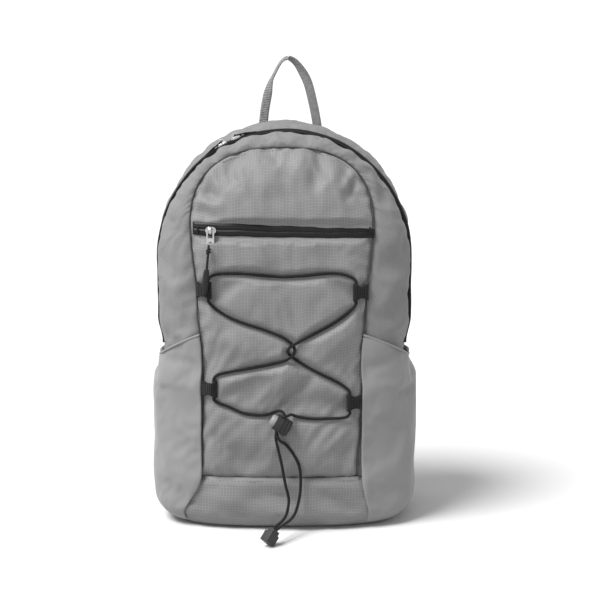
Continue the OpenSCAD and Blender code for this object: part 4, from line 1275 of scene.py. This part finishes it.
def make_strap(side, name):
    """A padded shoulder strap with a bound edge, and the webbing below it."""
    path = spline([(side * (40 + a), BACK_FACE_Y + b, z) for a, b, z in STRAP], 8)
    across = [(1, 0, 0)] * len(path)

    def section(i):
        quilt = 1 - 0.22 * math.exp(-(((i % 16) - 8) / 1.2) ** 2)
        return flat_section(56, 5.4 * quilt, 0.45, 0.55)

    strap = sweep(f"strap_{name}_look", path, section, sides=across)
    place(strap, "strap_fabric", f"shoulder_strap_{name}")
    for edge in (-1, 1):
        line = path + np.array([edge * 27.2, 0, 0])
        bind = sweep(f"strap_{name}_binding_{'in' if edge * side < 0 else 'out'}", line,
                     lambda i: flat_section(3.6, 3.4, 0.9), sides=across)
        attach(dress(bind, "binding"), "pack")
    path = spline([(side * (80 + a), BACK_FACE_Y + b, z) for a, b, z in WEBBING], 8)
    strap = sweep(f"strap_webbing_{name}_look", path, lambda i: flat_section(20, 1.7, 0.25),
                  sides=[(1, 0, 0)] * len(path))
    place(strap, "webbing_grey", f"strap_webbing_{name}")
    restyle(f"ladder_lock_{name}", "lock_plastic", 0.7, 4)
    restyle(f"ladder_holder_{name}", "webbing_grey", 0.4)
    make_tab(side, name)


def make_tab(side, name):
    """The folded tab that takes the webbing, sewn into the lower corner."""
    low, high = [(98, 17), (118, 14), (135, 16)], [(110, 53), (124, 50), (136, 42)]
    under, over = spline([(x, 0, z) for x, z in low], 8), spline([(x, 0, z) for x, z in high], 8)
    rows = []
    for a, b in zip(under, over):
        row = []
        for t in np.linspace(0, 1, 15):
            x, z = lerp(a[0], b[0], t), lerp(a[2], b[2], t)
            puff = 0.9 * math.sin(math.pi * t) ** 0.5 + 0.5 * wave((x, 0, z), 9, 60)
            row.append((side * x, BACK_FACE_Y + 3.4 + puff - 6 * smooth((x - 112) / 30), z))
        rows.append(row)
    tab = thicken(grid_object(f"strap_tab_{name}_look", rows), 2.2)
    place(tab, "strap_fabric", f"strap_tab_{name}")


def lay_along_zip(obj, pin_angle):
    """Bends a straight pull so that it lies along the arch of the zip."""
    for v in obj.data.vertices:
        x, _, z = v.co / MM
        r, a = math.hypot(x, z - ARCH_Z), math.atan2(z - ARCH_Z, x)
        run = abs(a - math.radians(pin_angle)) * r
        r -= run * run / (2 * ARCH_R) + 0.1 * run
        v.co.x, v.co.z = r * math.cos(a) * MM, (ARCH_Z + r * math.sin(a)) * MM


def make_hardware():
    """Metal and plastic parts in the CAD's own shapes; the spring gets a mesh of its own, and the back's lining
    and foam their materials.
    """
    for side, angle in (("left", 118.5), ("right", 112)):
        restyle(f"main_slider_{side}", "nickel", 0.35)
        lay_along_zip(restyle(f"main_pull_{side}", "cord_black", 0.35), angle)
    restyle("cord_lock_body", "lock_plastic", 0.4)
    restyle("cord_lock_button", "button_plastic", 2.2, 6)
    restyle("cord_end", "cord_end_plastic", 0.9, 4)
    restyle("pocket_zip_stops", "coated_band", 0.3)
    restyle("strap_yoke", "strap_fabric", 1.2, 4)
    spring = restyle("cord_lock_spring", "spring_steel", 0.1, 1)
    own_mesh(spring)
    for node, material in (("back_lining", "lining"), ("back_foam", "foam")):
        cad = frame["nodes"][node]
        cad.data.materials.clear()
        cad.data.materials.append(MATERIALS[material])


make_camera()
make_studio()
make_hardware()
make_lacing()
sewn = make_cloth()
make_seams(*sewn)
for side, name in ((-1, "left"), (1, "right")):
    make_pocket(side, name)
    make_strap(side, name)
make_main_zip()
make_pocket_band()
make_pocket_bag()
make_pull()
for loop in LOOPS:
    make_loop(loop)
make_handle()
make_back()
